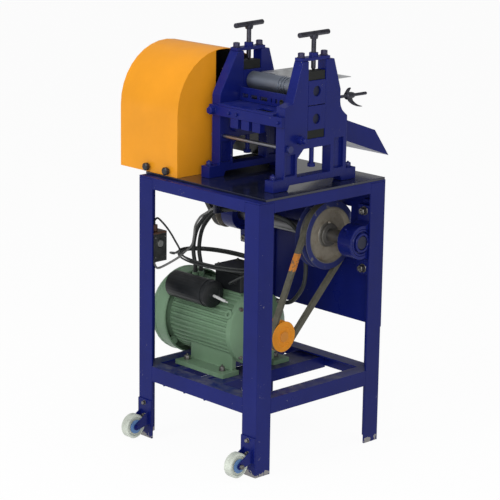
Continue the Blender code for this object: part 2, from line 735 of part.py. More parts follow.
def belt_groove(middle, radius):
    # points of one V groove, from one lip to the other
    top = belt_top / 2 + groove_side
    bottom = belt_bottom / 2 + groove_side
    depth = belt_depth + 2 * mm
    return [(middle - top, radius), (middle - bottom, radius - depth), (middle + bottom, radius - depth),
            (middle + top, radius)]


def pulley(name, centre, radius, low, high, grooves, bore, web, material):
    rim = radius - belt_depth - 8 * mm
    hub = bore + 12 * mm
    inner, outer = (low + high) / 2 - web / 2, (low + high) / 2 + web / 2
    profile = [(low, bore), (low, hub)]
    if rim > hub + 6 * mm:
        profile += [(inner, hub), (inner, rim)]
        profile += [(low, rim)]
    profile += [(low, radius)]
    for middle in grooves:
        profile += belt_groove(middle, radius)
    profile += [(high, radius)]
    if rim > hub + 6 * mm:
        profile += [(high, rim), (outer, rim), (outer, hub)]
    profile += [(high, hub), (high, bore)]
    return build(name, turned(profile, "X", centre, 40), material, origin=centre)


def belt(name, middle, first, first_radius, second, second_radius, material):
    # an open V-belt round two pulleys: straight strands between two arcs, in the YZ plane
    dy, dz = second[0] - first[0], second[1] - first[1]
    span = hypot(dy, dz)
    base = atan2(dz, dy)
    lean = acos((first_radius - second_radius) / span)
    sink = belt_sink
    steps = 20
    path = []
    for centre, radius, start, stop in ((first, first_radius, base + lean, base + 2 * pi - lean),
                                        (second, second_radius, base - lean, base + lean)):
        for i in range(steps + 1):
            angle = start + (stop - start) * i / steps
            path.append((centre, radius - sink, angle))
    rings = []
    for centre, radius, angle in path:
        ring = []
        for x, r in ((-belt_bottom / 2, radius - belt_depth), (-belt_top / 2, radius),
                     (belt_top / 2, radius), (belt_bottom / 2, radius - belt_depth)):
            ring.append((middle + x, centre[0] + r * cos(angle), centre[1] + r * sin(angle)))
        rings.append(ring)
    return build(name, loft(rings, True), material)


def make_drive():
    shaft_centre = (0, shaft_y, shaft_z)
    r = shaft_radius
    build("countershaft", turned([(shaft_left, 0), (shaft_left, r - 1 * mm), (shaft_left + 1 * mm, r),
                                  (shaft_right - 1 * mm, r), (shaft_right, r - 1 * mm), (shaft_right, 0)],
                                 "X", shaft_centre, 28), steel, origin=shaft_centre)
    for name, low in (("left", -half - pillow_width - 2 * mm), ("right", shaft_right - pillow_width - 1 * mm)):
        back = shaft_y + pillow_height
        face = back - pillow_base_thickness
        high = low + pillow_width
        outline = [(back, shaft_z - pillow_base / 2), (back, shaft_z + pillow_base / 2),
                   (face, shaft_z + pillow_base / 2), (face - 2 * mm, shaft_z + pillow_radius + 6 * mm)]
        outline += arc((shaft_y, shaft_z), pillow_radius, radians(72), radians(288), 14)
        outline += [(face - 2 * mm, shaft_z - pillow_radius - 6 * mm), (face, shaft_z - pillow_base / 2)]
        bore = rod("X", low - 1 * mm, high + 1 * mm, shaft_centre, shaft_radius + running, 28)
        recess = []
        for side in (low, high):
            ends = (side - 1 * mm, side + 5 * mm) if side == low else (side - 5 * mm, side + 1 * mm)
            recess.append(rod("X", *ends, shaft_centre, pillow_radius - 9 * mm, 28))
        build("pillow_block_" + name, prism(outline, "X", low, high), navy,
              [cut(merge(*recess)), cut(bore)])
    low, high = drive_face - large_pulley_width, drive_face
    outer = drive_face - 10 * mm
    inner = outer - 20 * mm
    pulley("large_pulley", shaft_centre, large_pulley_radius, low, high, (inner, outer),
           shaft_radius + gap, 14 * mm, casting)
    motor_centre = (0, motor_y, motor_z)
    pulley("motor_pulley", motor_centre, motor_pulley_radius, low, high, (inner, outer),
           motor_shaft_radius + gap, 14 * mm, orange)
    start = motor_nose - 24 * mm
    build("motor_shaft", turned([(start, 0), (start, motor_shaft_radius), (drive_face + 1 * mm, motor_shaft_radius),
                                 (drive_face + 2 * mm, motor_shaft_radius - 1 * mm), (drive_face + 2 * mm, 0)],
                                "X", motor_centre, 24), steel, origin=motor_centre)
    belt("drive_belt", outer, (shaft_y, shaft_z), large_pulley_radius, (motor_y, motor_z),
         motor_pulley_radius, belt_rubber)
    low, high = roller_belt_x - roller_pulley_width / 2, roller_belt_x + roller_pulley_width / 2
    pulley("counter_pulley", shaft_centre, small_pulley_radius, low, high, (roller_belt_x,),
           shaft_radius + gap, 14 * mm, casting)
    pulley("roller_pulley", (0, frame_y, lower_axis), driven_pulley_radius, low, high, (roller_belt_x,),
           journal_radius + gap, 12 * mm, casting)
    belt("roller_belt", roller_belt_x, (frame_y, lower_axis), driven_pulley_radius,
         (shaft_y, shaft_z), small_pulley_radius, rubber)


# Motor

def make_motor():
    centre = (0, motor_y, motor_z)
    fins = []
    for i in range(motor_fins):
        for radius, share in ((motor_radius - motor_fin_depth, -0.32), (motor_radius, -0.18),
                              (motor_radius, 0.18), (motor_radius - motor_fin_depth, 0.32)):
            angle = 2 * pi * (i + share) / motor_fins
            fins.append((motor_y + radius * cos(angle), motor_z + radius * sin(angle)))
    body = prism(fins, "X", motor_body_left, motor_body_right)
    r = motor_radius
    shield = turned([(motor_body_right - 6 * mm, 0), (motor_body_right - 6 * mm, r + 1 * mm),
                     (motor_body_right + 10 * mm, r + 1 * mm), (motor_body_right + 16 * mm, r - 7 * mm),
                     (motor_nose - 10 * mm, r - 34 * mm), (motor_nose - 8 * mm, 34 * mm),
                     (motor_nose, 30 * mm), (motor_nose, 0)], "X", centre, 40)
    # rear end shield inside the cowl, with four lugs that carry the cowl
    spigot = cowl_radius - cowl_wall - gap
    rear = rod("X", motor_body_left - 24 * mm, motor_body_left + 1 * mm, centre, motor_radius - 2 * mm, 40)
    lugs = []
    for i in range(4):
        out = Vector((0, cos(pi / 4 + i * pi / 2), sin(pi / 4 + i * pi / 2)))
        across = Vector((0, -out.z, out.y)) * 8 * mm
        near = Vector(centre) + out * (motor_radius - 20 * mm)
        far = Vector(centre) + out * (spigot * cos(pi / 40) - 0.5 * mm)
        outline = [(p.y, p.z) for p in (near - across, near + across, far + across, far - across)]
        lugs.append(add(prism(outline, "X", motor_body_left - 20 * mm, motor_body_left - 6 * mm)))
    foot_low = motor_rail_top + gap
    steps = [add(shield), add(rear)] + lugs
    x_range = (motor_foot_first - motor_foot_pitch - motor_foot_ends[0], motor_foot_first + motor_foot_ends[1])
    for side in (-1, 1):
        middle = motor_y + side * motor_foot_span / 2
        outer, inner = middle + side * motor_foot_width / 2, middle - side * 33 * mm
        flange_top = foot_low + motor_foot_thickness
        steps.append(add(prism([(inner, foot_low), (outer, foot_low), (outer, flange_top),
                                (inner, flange_top)], "X", *x_range)))
        outline = [(inner, foot_low + 2 * mm), (middle - side * 16 * mm, foot_low + 2 * mm),
                   (middle - side * 20 * mm, flange_top + 4 * mm), (middle - side * 20 * mm, foot_low + 60 * mm),
                   (inner, foot_low + 60 * mm)]
        steps.append(add(prism(outline, "X", x_range[0] + 12 * mm, x_range[1] - 12 * mm)))
    # saddle under the terminal box
    steps.append(add(box((terminal_left + 8 * mm, terminal_left + terminal_length - 8 * mm),
                         (terminal_front + 8 * mm, terminal_front + terminal_depth - 8 * mm),
                         (motor_z + motor_radius - 20 * mm, terminal_base - gap))))
    # saddle for the capacitor housing
    reach = Vector((0, capacitor_y - motor_y, capacitor_z - motor_z))
    across = Vector((0, -reach.z, reach.y)).normalized() * 12 * mm
    near = Vector(centre) + reach.normalized() * (motor_radius - 14 * mm)
    far = Vector(centre) + reach.normalized() * (reach.length - capacitor_radius * cos(pi / 28) - gap)
    outline = [(p.y, p.z) for p in (near - across, near + across, far + across, far - across)]
    steps.append(add(prism(outline, "X", capacitor_left + 20 * mm, capacitor_left + capacitor_length - 20 * mm)))
    # glands where the two thick cables come out
    for y in (clip_y, supply_y):
        steps.append(add(rod("Z", motor_z + motor_radius - 20 * mm, gland_top, (cable_x, y, 0), gland_radius, 16)))
    steps.append(cut(rod("X", motor_nose - 26 * mm, motor_nose + 1 * mm, centre, motor_shaft_radius + running, 24)))
    build("motor_body", body, sage, steps)
    c = cowl_radius
    end = motor_body_left - gap
    build("fan_cowl", turned([(cowl_left, 20 * mm), (cowl_left, c - 24 * mm), (cowl_left + 6 * mm, c - 12 * mm),
                              (cowl_left + 22 * mm, c), (end, c), (end, c - cowl_wall),
                              (cowl_left + 24 * mm, c - cowl_wall), (cowl_left + 9 * mm, c - 14 * mm),
                              (cowl_left + 3 * mm, c - 25 * mm), (cowl_left + 3 * mm, 20 * mm)],
                             "X", centre, 40), sage)
    right, rear = terminal_left + terminal_length, terminal_front + terminal_depth
    shape = box((terminal_left, right), (terminal_front, rear), (terminal_base, terminal_top - 6 * mm))
    lid = box((terminal_left - 2 * mm, right + 2 * mm), (terminal_front - 2 * mm, rear + 2 * mm),
              (terminal_top - 14 * mm, terminal_top))
    build("terminal_box", shape, black_plastic, [add(lid)])
    low = capacitor_left
    high = low + capacitor_length
    r = capacitor_radius
    build("capacitor", turned([(low, 0), (low, r - 4 * mm), (low + 4 * mm, r), (high - 4 * mm, r),
                               (high, r - 4 * mm), (high, 0)], "X", (0, capacitor_y, capacitor_z), 28),
          black_plastic)


terminal_base = motor_z + motor_radius + 1 * mm
capacitor_reach = motor_radius + capacitor_radius + 2 * mm
capacitor_y = motor_y + capacitor_reach * cos(capacitor_angle)
capacitor_z = motor_z + capacitor_reach * sin(capacitor_angle)
terminal_top = terminal_base + terminal_height
gland_top = motor_z + motor_radius + gland_rise


# Switch box

def make_switch():
    x = (-half + leg_wall + gap, -half + leg_wall + gap + switch_side)
    y = (-half + leg_wall + gap, -half + leg_wall + gap + switch_depth)
    z = (switch_bottom, switch_bottom + switch_height)
    middle = ((x[0] + x[1]) / 2, (y[0] + y[1]) / 2)
    button_z = switch_bottom + 0.62 * switch_height
    gland = rod("Z", z[1] - 1 * mm, z[1] + 16 * mm, (*middle, 0), 8 * mm, 12)
    well = rod("X", x[1] - 8 * mm, x[1] + 1 * mm, (0, middle[1], button_z), button_radius + gap, 20)
    build("switch_box", box(x, y, z), black_plastic, [add(gland), cut(well)])
    face = x[1]
    start = face - 3 * mm
    build("switch_button", turned([(start, 0), (start, button_radius), (face + button_reach - 1 * mm, button_radius),
                                   (face + button_reach, button_radius - 1 * mm), (face + button_reach, 0)],
                                  "X", (0, middle[1], button_z), 20), red_plastic,
          origin=(start, middle[1], button_z))


# Cables

cord_radius = 2.5 * mm
grey_radius = 3 * mm
motor_cable_radius = 5.5 * mm
clip_drop = 102 * mm          # the motor cable's clip, below the table
clip_x, clip_y, clip_z = -110 * mm, -36 * mm, table_height - clip_drop
supply_y = -16 * mm           # the supply cable runs beside the motor cable
grey_y = -54 * mm             # and the grey cord on its other side
cable_x = -209 * mm           # where the thick cables leave the motor


def clip_box():
    # the hanger under the table that holds the motor cable
    r = motor_cable_radius + 4 * mm
    return box((clip_x - 6 * mm, clip_x + 6 * mm), (grey_y - grey_radius - 4 * mm, supply_y + r),
               (clip_z - r, table_height - plate_thickness + 1 * mm))


def smooth_path(points, step, straight):
    # a Catmull-Rom curve through the route's points, read at an even step, with straight ends
    points = [Vector(p) for p in points]
    first, last = points[0], points[-1]
    points[0] = first + (points[1] - first).normalized() * straight
    points[-1] = last + (points[-2] - last).normalized() * straight
    ends = [2 * points[0] - points[1]] + points + [2 * points[-1] - points[-2]]
    dense = []
    for a, b, c, d in zip(ends, ends[1:], ends[2:], ends[3:]):
        for i in range(16):
            t = i / 16
            dense.append(0.5 * (2 * b + (c - a) * t + (2 * a - 5 * b + 4 * c - d) * t * t
                                + (3 * b - a - 3 * c + d) * t ** 3))
    dense.append(points[-1])
    lengths = [0.0]
    for a, b in zip(dense, dense[1:]):
        lengths.append(lengths[-1] + (b - a).length)
    count = max(2, round(lengths[-1] / step))
    result = [first]
    place = 0
    for i in range(count + 1):
        want = lengths[-1] * i / count
        while place < len(dense) - 2 and lengths[place + 1] < want:
            place += 1
        share = (want - lengths[place]) / (lengths[place + 1] - lengths[place])
        result.append(dense[place].lerp(dense[place + 1], min(1.0, share)))
    return result + [last]


def tube(name, points, radius, material, resolution):
    curve = bpy.data.curves.new(name, "CURVE")
    curve.dimensions = "3D"
    spline = curve.splines.new("POLY")
    spline.points.add(len(points) - 1)
    for spot, point in zip(spline.points, points):
        spot.co = (*point, 1)
    curve.bevel_depth = radius
    curve.bevel_resolution = resolution
    curve.use_fill_caps = True
    piece = bpy.data.objects.new(name, curve)
    piece.location = shift
    piece.data.materials.append(material)
    bpy.context.scene.collection.objects.link(piece)
    return piece


# Flat loops of spare lead on the terminal box, round the two thick cables
hank_turns = 2               # inwards in the lower layer, the rest outwards in the upper one
hank_total = 3 + 200 / 360
hank_start = radians(200)
hank_centre = (-112 * mm, -36 * mm)
hank_long = 150 * mm
hank_short = 80 * mm
hank_pitch = 8 * mm
hank_layer = 6.5 * mm
hank_base = terminal_top + cord_radius + gap


def hank_point(turn):
    inward = hank_pitch * (turn if turn <= hank_turns else 2 * hank_turns - turn)
    climb = min(1.0, max(0.0, (turn - hank_turns + 0.25) / 0.5))
    angle = hank_start - 2 * pi * turn
    return Vector((hank_centre[0] + (hank_long - inward) * cos(angle),
                   hank_centre[1] + (hank_short - inward) * sin(angle),
                   hank_base + hank_layer * climb))


def make_hank():
    count = round(30 * hank_total)
    loops = [hank_point(hank_total * i / count) for i in range(count + 1)]
    least = min((loops[i] - loops[j]).length for i in range(len(loops)) for j in range(i + 8, len(loops)))
    print("least gap between turns of the lead: %.2f mm" % ((least - 2 * cord_radius) / mm))
    entry = Vector((terminal_left + terminal_length - 18 * mm, terminal_front - gap, terminal_base + 26 * mm))
    end = loops[-1]
    away = (loops[-1] - loops[-2]).normalized()
    tail = [end, end + away * 26 * mm + Vector((0, 0, -3 * mm)), end + Vector((-16 * mm, -58 * mm, -18 * mm)),
            entry + Vector((22 * mm, -42 * mm, 10 * mm)), entry + Vector((3 * mm, -18 * mm, 1 * mm)),
            entry + Vector((0, -6 * mm, 0)), entry]
    first = (loops[0] - loops[1]).normalized() * 2 * cord_radius
    points = [loops[0] + first] + loops[:-1] + smooth_path(tail, 6 * cord_radius, 2 * cord_radius)
    tube("lead_hank", points, cord_radius, rubber, 1)
    return points


def make_cables():
    loops = make_hank()
    leave = (loops[0] - loops[1]).normalized()
    start = loops[0] + leave * gap
    x = -half + leg_wall + gap + switch_side / 2
    y = -half + leg_wall + gap + switch_depth / 2
    top = switch_bottom + switch_height + 16 * mm + gap
    lead = [Vector((x, y, top)), Vector((x, y, top + 10 * mm)), Vector((x + 9 * mm, y + 2 * mm, top + 18 * mm)),
            Vector((x + 21 * mm, y + 7 * mm, top + 9 * mm)), Vector((x + 25 * mm, y + 24 * mm, top - 12 * mm)),
            Vector((x + 27 * mm, y + 44 * mm, top - 42 * mm)), Vector((x + 24 * mm, y + 66 * mm, top - 78 * mm)),
            start + leave * 34 * mm + Vector((0, 0, 8 * mm)), start + leave * 12 * mm, start]
    tube("switch_lead", smooth_path(lead, 6 * cord_radius, 2 * cord_radius), cord_radius, rubber, 2)
    bottom = switch_bottom - gap
    held = clip_x - 6 * mm - gap
    grey = [Vector((x, y, bottom)), Vector((x, y, bottom - 10 * mm)), Vector((x + 2 * mm, y + 14 * mm, bottom - 22 * mm)),
            Vector((x + 21 * mm, y + 60 * mm, bottom)), Vector((x + 18 * mm, y + 86 * mm, bottom + 11 * mm)),
            Vector((x + 12 * mm, y + 118 * mm, bottom + 24 * mm)), Vector((x, grey_y, bottom + 46 * mm)),
            Vector((x + 5 * mm, grey_y, bottom + 72 * mm)), Vector((x + 24 * mm, grey_y, bottom + 98 * mm)),
            Vector((held - 30 * mm, grey_y, clip_z - 14 * mm)), Vector((held - 10 * mm, grey_y, clip_z)),
            Vector((held, grey_y, clip_z))]
    tube("switch_cord", smooth_path(grey, 6 * grey_radius, 2 * grey_radius), grey_radius, grey_cord, 2)
    up = gland_top + gap
    rise = [(cable_x, up), (cable_x, up + 18 * mm), (cable_x - 8 * mm, up + 60 * mm), (cable_x + 3 * mm, clip_z - 76 * mm),
            (cable_x + 33 * mm, clip_z - 36 * mm), (cable_x + 64 * mm, clip_z - 10 * mm)]
    side = terminal_front + terminal_depth + gap
    entry = terminal_base + 26 * mm
    behind = drive_face - large_pulley_width - motor_cable_radius - 3 * mm
    route = [Vector((a, clip_y, b)) for a, b in rise]
    route += [Vector(p) for p in (
        (clip_x - 14 * mm, clip_y, clip_z - 1 * mm), (clip_x, clip_y, clip_z), (clip_x + 14 * mm, clip_y, clip_z),
        (clip_x + 60 * mm, clip_y + 14 * mm, clip_z + 6 * mm), (clip_x + 106 * mm, clip_y + 46 * mm, clip_z + 2 * mm),
        (behind - 24 * mm, clip_y + 104 * mm, clip_z - 26 * mm), (behind - 5 * mm, clip_y + 140 * mm, clip_z - 78 * mm),
        (behind, clip_y + 146 * mm, clip_z - 134 * mm), (behind - 1 * mm, clip_y + 146 * mm, clip_z - 178 * mm),
        (behind - 14 * mm, clip_y + 146 * mm, clip_z - 212 * mm), (behind - 48 * mm, clip_y + 142 * mm, clip_z - 250 * mm),
        (behind - 90 * mm, clip_y + 132 * mm, clip_z - 252 * mm), (behind - 118 * mm, clip_y + 112 * mm, clip_z - 222 * mm),
        (behind - 124 * mm, side + 30 * mm, entry - 6 * mm), (behind - 124 * mm, side + 12 * mm, entry),
        (behind - 124 * mm, side, entry))]
    tube("motor_cable", smooth_path(route, 4.4 * motor_cable_radius, 2 * motor_cable_radius), motor_cable_radius, rubber, 2)
    route = [Vector((a, supply_y, b)) for a, b in rise]
    route += [Vector((held - 10 * mm, supply_y, clip_z)), Vector((held, supply_y, clip_z))]
    tube("supply_cable", smooth_path(route, 4.4 * motor_cable_radius, 2 * motor_cable_radius), motor_cable_radius, rubber, 2)


make_stand()
make_casters()
make_frames()
make_rollers()
make_feed()
make_outfeed()
make_cover()
make_drive()
make_motor()
make_switch()
make_cables()
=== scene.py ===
import bpy
import bmesh
import json
from math import cos, pi, radians, sin
from mathutils import Matrix, Vector


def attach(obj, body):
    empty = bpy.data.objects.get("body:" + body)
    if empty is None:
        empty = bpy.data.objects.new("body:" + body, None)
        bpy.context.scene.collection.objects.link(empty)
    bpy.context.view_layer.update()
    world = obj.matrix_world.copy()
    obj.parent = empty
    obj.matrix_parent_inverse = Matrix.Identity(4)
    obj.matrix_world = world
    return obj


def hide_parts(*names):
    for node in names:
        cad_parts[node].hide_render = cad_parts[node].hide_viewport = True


# Dresses the flat cable stripping machine: paint, rounded edges, fasteners, fittings and cords

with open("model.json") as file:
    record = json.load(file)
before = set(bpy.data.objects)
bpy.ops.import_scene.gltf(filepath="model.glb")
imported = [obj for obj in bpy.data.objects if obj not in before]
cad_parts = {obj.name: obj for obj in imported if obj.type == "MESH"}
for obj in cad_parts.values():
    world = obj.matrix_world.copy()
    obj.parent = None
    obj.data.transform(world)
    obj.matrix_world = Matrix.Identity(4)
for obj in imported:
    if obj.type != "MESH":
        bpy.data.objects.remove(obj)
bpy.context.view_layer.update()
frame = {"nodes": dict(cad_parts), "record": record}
nodes = frame["nodes"]
scene = bpy.context.scene
mm = 0.001

# the stand's own frame, where X and Y are 0 at the table's centre, lies this far from the record's
standShift = Vector((50.5, -6.25, 0)) * mm


def inRow(x, y, z):
    return Vector((x, y, z)) * mm + standShift


# Camera, set to the photograph
camera = {"azimuth": 46.255, "elevation": 13.973, "roll": 0.843, "lens": 140.35, "sensor": 36,
          "aimSide": -27.6, "aimHeight": 502.9, "distance": 4981.6, "clipEnd": 60}


def makeCamera(s):
    az, el, roll = radians(s["azimuth"]), radians(s["elevation"]), radians(s["roll"])
    forward = Vector((-sin(az) * cos(el), cos(az) * cos(el), -sin(el)))
    right = Vector((cos(az), sin(az), 0))
    up = right.cross(forward)
    across = cos(roll) * right + sin(roll) * up
    upright = cos(roll) * up - sin(roll) * right
    place = (s["aimSide"] * right + Vector((0, 0, s["aimHeight"])) - s["distance"] * forward) * mm + standShift
    data = bpy.data.cameras.new("camera")
    data.lens = s["lens"]
    data.sensor_width = s["sensor"]
    data.clip_end = s["clipEnd"]
    view = bpy.data.objects.new("camera", data)
    view.matrix_world = Matrix.Translation(place) @ Matrix((across, upright, -forward)).transposed().to_4x4()
    scene.collection.objects.link(view)
    scene.camera = view


makeCamera(camera)
scene.view_settings.view_transform = "Standard"
print("camera set")


# Cords: their facts first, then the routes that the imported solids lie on
cordLook = {"lead": 2.5, "grey": 3.0, "thick": 5.5, "clip": (-110, -36, 598), "clipHalf": 6.3, "supplySide": -16,
            "greySide": -54, "motorSide": -209, "glandTop": 410.3, "gap": 0.3, "switch": (-195.2, -189.7),
            "switchTop": 564.3, "switchBottom": 469.7, "boxFront": (-30, -58.3, 421.3),
            "boxRear": (-70.5, 22.3, 421.3), "pulleyLeft": 62, "fineSteps": 24, "step": 3.5, "pointRadius": 0.01}
hankLook = {"turns": 2, "total": 3 + 200 / 360, "start": 200, "centre": (-112, -36), "long": 150, "short": 80,
            "pitch": 8, "layer": 6.5, "base": 459.6, "perTurn": 90, "solidSteps": 107}


def smoothRoute(points, straight):
    # a Catmull-Rom curve through the route's points, read at an even step, with straight ends
    points = [Vector(p) for p in points]
    first, last = points[0], points[-1]
    points[0] = first + (points[1] - first).normalized() * straight
    points[-1] = last + (points[-2] - last).normalized() * straight
    ends = [2 * points[0] - points[1]] + points + [2 * points[-1] - points[-2]]
    dense = []
    for a, b, c, d in zip(ends, ends[1:], ends[2:], ends[3:]):
        for i in range(cordLook["fineSteps"]):
            t = i / cordLook["fineSteps"]
            dense.append(0.5 * (2 * b + (c - a) * t + (2 * a - 5 * b + 4 * c - d) * t * t
                                + (3 * b - a - 3 * c + d) * t ** 3))
    dense.append(points[-1])
    walked = [0.0]
    for a, b in zip(dense, dense[1:]):
        walked.append(walked[-1] + (b - a).length)
    count = round(walked[-1] / cordLook["step"])
    result = [first]
    place = 0
    for i in range(count + 1):
        want = walked[-1] * i / count
        while place < len(dense) - 2 and walked[place + 1] < want:
            place += 1
        share = (want - walked[place]) / (walked[place + 1] - walked[place])
        result.append(dense[place].lerp(dense[place + 1], min(1.0, share)))
    return result + [last]


def hankPoint(turn):
    h = hankLook
    inward = h["pitch"] * (turn if turn <= h["turns"] else 2 * h["turns"] - turn)
    climb = min(1.0, max(0.0, (turn - h["turns"] + 0.25) / 0.5))
    angle = radians(h["start"]) - 2 * pi * turn
    return Vector((h["centre"][0] + (h["long"] - inward) * cos(angle),
                   h["centre"][1] + (h["short"] - inward) * sin(angle), h["base"] + h["layer"] * climb))


def leadRoute():
    # from the switch box's gland, round the hank on the terminal box, and into the box's front
    c, h = cordLook, hankLook
    count = round(h["perTurn"] * h["total"])
    loops = [hankPoint(h["total"] * i / count) for i in range(count + 1)]
    back = (hankPoint(0) - hankPoint(h["total"] / h["solidSteps"])).normalized()
    begin = loops[0] + back * (2 * c["lead"] + c["gap"])
    x, y = c["switch"]
    top = c["switchTop"]
    down = [Vector((x + a, y + b, top + d)) for a, b, d in
            ((0, 0, 0), (0, 0, 10), (9, 2, 18), (21, 7, 9), (25, 24, -12), (27, 44, -42), (24, 66, -78))]
    down += [begin + back * 34 + Vector((0, 0, 8)), begin + back * 12, begin]
    entry = Vector(c["boxFront"])
    end = loops[-1]
    away = (end - loops[-2]).normalized()
    tail = [end, end + away * 26 + Vector((0, 0, -3)), end + Vector((-16, -58, -18)), entry + Vector((22, -42, 10)),
            entry + Vector((3, -18, 1)), entry + Vector((0, -6, 0)), entry]
    return smoothRoute(down, 5) + loops[:-1] + smoothRoute(tail, 5)


def greyRoute():
    # down out of the switch box, towards the back and up into the clip under the table
    x, y = cordLook["switch"]
    low = cordLook["switchBottom"]
    side = cordLook["greySide"]
    held = cordLook["clip"][0] - cordLook["clipHalf"]
    high = cordLook["clip"][2]
    points = [(x, y, low), (x, y, low - 10), (x + 2, y + 14, low - 22), (x + 21, y + 60, low),
              (x + 18, y + 86, low + 11), (x + 12, y + 118, low + 24), (x, side, low + 46), (x + 5, side, low + 72),
              (x + 24, side, low + 98), (held - 30, side, high - 14), (held - 10, side, high), (held, side, high)]
    return smoothRoute(points, 6)


def risingPoints(side):
    a, up, high = cordLook["motorSide"], cordLook["glandTop"] + cordLook["gap"], cordLook["clip"][2]
    return [(a, side, up), (a, side, up + 18), (a - 8, side, up + 60), (a + 3, side, high - 76),
            (a + 33, side, high - 36), (a + 64, side, high - 10)]


def supplyRoute():
    # up from the motor, beside the motor cable, and into the clip
    held, high = cordLook["clip"][0] - cordLook["clipHalf"], cordLook["clip"][2]
    side = cordLook["supplySide"]
    return smoothRoute(risingPoints(side) + [(held - 10, side, high), (held, side, high)], 11)


def motorRoute():
    # up from the motor, through the clip, down behind the large pulley and into the terminal box's rear
    x, y, z = cordLook["clip"]
    behind = cordLook["pulleyLeft"] - 8.5
    inX, inY, inZ = cordLook["boxRear"]
    points = risingPoints(y) + [
        (x - 14, y, z - 1), (x, y, z), (x + 14, y, z), (x + 60, y + 14, z + 6), (x + 106, y + 46, z + 2),
        (behind - 24, y + 104, z - 26), (behind - 5, y + 140, z - 78), (behind, y + 146, z - 134),
        (behind - 1, y + 146, z - 178), (behind - 14, y + 146, z - 212), (behind - 48, y + 142, z - 250),
        (behind - 90, y + 132, z - 252), (behind - 118, y + 112, z - 222), (inX, inY + 30, inZ - 6),
        (inX, inY + 12, inZ), (inX, inY, inZ)]
    return smoothRoute(points, 11)


def makeCord(name, route, radius, stiffness, lay, replaced, slot):
    curve = bpy.data.curves.new(name, "CURVE")
    curve.dimensions = "3D"
    spline = curve.splines.new("POLY")
    spline.points.add(len(route) - 1)
    for spot, point in zip(spline.points, route):
        spot.co = (*inRow(*point), 1)
        spot.radius = cordLook["pointRadius"]  # a small one keeps the curve's own box close to the cord
    curve.bevel_depth = radius * mm / cordLook["pointRadius"]
    curve.bevel_resolution = 4
    curve.use_fill_caps = True
    piece = bpy.data.objects.new(name, curve)
    scene.collection.objects.link(piece)
    length = sum((b - a).length for a, b in zip(route, route[1:]))
    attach(piece, "stand")
    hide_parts(*replaced)
    2 * radius * mm
    print("%s is %.0f mm long" % (name, length))
    return piece


# each cord's route, radius, stiffness and lie, the nodes it stands for, its slot and its finish
cordFacts = {
    "switchLeadCord": (leadRoute, "lead", "limp", "coiled", ("switch_lead", "lead_hank"), "black_rubber", "cord"),
    "greySwitchCord": (greyRoute, "grey", "medium", "hanging", ("switch_cord",), "grey_cord", "greyCord"),
    "motorCableCord": (motorRoute, "thick", "medium", "hanging", ("motor_cable",), "black_rubber", "cord"),
    "supplyCableCord": (supplyRoute, "thick", "medium", "hanging", ("supply_cable",), "black_rubber", "cord"),
}
cords = [(makeCord(name, route(), cordLook[size], *facts), finish)
         for name, (route, size, *facts, finish) in cordFacts.items()]
print("cords laid")


# Shader maths: a wire is a node's output that takes part in sums
class Wire:
    def __init__(self, finish, socket):
        self.finish = finish
        self.socket = socket

    def join(self, operation, first, second):
        return self.finish.make("Math", {"operation": operation}, {0: first, 1: second})

    def __add__(self, other):
        return self.join("ADD", self, other)

    __radd__ = __add__

    def __sub__(self, other):
        return self.join("SUBTRACT", self, other)

    def __rsub__(self, other):
        return self.join("SUBTRACT", other, self)

    def __mul__(self, other):
        return self.join("MULTIPLY", self, other)

    def __pow__(self, other):
        return self.join("POWER", self, other)

    def __gt__(self, other):
        return self.join("GREATER_THAN", self, other)

    def __lt__(self, other):
        return self.join("LESS_THAN", self, other)

    def over(self, low, high):
        # 0 at low, 1 at high, straight between
        return self.finish.make("MapRange", {}, {"Value": self, "From Min": low, "From Max": high})


class Finish:
    def __init__(self, name, colour, roughness, metallic=0.0, coat=0.0, coatRoughness=0.1, specular=0.35):
        self.material = bpy.data.materials.new(name)
        self.material.use_nodes = True
        self.nodes = self.material.node_tree.nodes
        self.links = self.material.node_tree.links
        self.shader = self.nodes["Principled BSDF"]
        self.give("Base Color", (*colour, 1))
        self.give("Roughness", roughness)
        self.give("Metallic", metallic)
        self.give("Coat Weight", coat)
        self.give("Coat Roughness", coatRoughness)
        self.give("Specular IOR Level", specular)
        self.material.diffuse_color = (*colour, 1)
        self.where = self.make("TexCoord", {}, {}, "Object")

    def give(self, socket, value, node=None):
        target = (node or self.shader).inputs[socket]
        if isinstance(value, Wire):
            self.links.new(value.socket, target)
        else:
            target.default_value = value

    def make(self, kind, settings, sockets, out=0):
        node = self.nodes.new("ShaderNode" + kind)
        for key, value in settings.items():
            setattr(node, key, value)
        for socket, value in sockets.items():
            self.give(socket, value, node)
        return Wire(self, node.outputs[out])

    def noise(self, scale, detail, rough, squeeze=None):
        where = self.where
        if squeeze:
            where = self.make("Mapping", {}, {"Vector": where, "Scale": squeeze})
        return self.make("TexNoise", {}, {"Vector": where, "Scale": scale, "Detail": detail, "Roughness": rough},
                         "Fac")

    def blend(self, amount, first, second):
        return self.make("Mix", {"data_type": "RGBA"}, {"Factor": amount, 6: first, 7: second}, 2)

    def mottle(self, amount, colour, dark, light):
        # one colour in patches of a darker and a lighter tone
        return self.blend(amount, tint(colour, dark), tint(colour, light))

    def axis(self, name):
        return self.make("SeparateXYZ", {}, {"Vector": self.where}, name)

    def facing(self, name):
        normal = self.make("NewGeometry", {}, {}, "Normal")
        return self.make("SeparateXYZ", {}, {"Vector": normal}, name)

    def around(self, centre, first, second):
        # distance from an axis, whose centre is given in the other two
        a = self.axis(first) - centre[0]
        b = self.axis(second) - centre[1]
        return (a * a + b * b) ** 0.5

    def relief(self, height, strength, distance):
        self.give("Normal", self.make("Bump", {}, {"Height": height, "Strength": strength, "Distance": distance}))


def tint(colour, factor):
    return tuple(min(1.0, c * factor) for c in colour[:3]) + (1,)


def clamped(wire):
    return wire.finish.make("Clamp", {}, {"Value": wire})


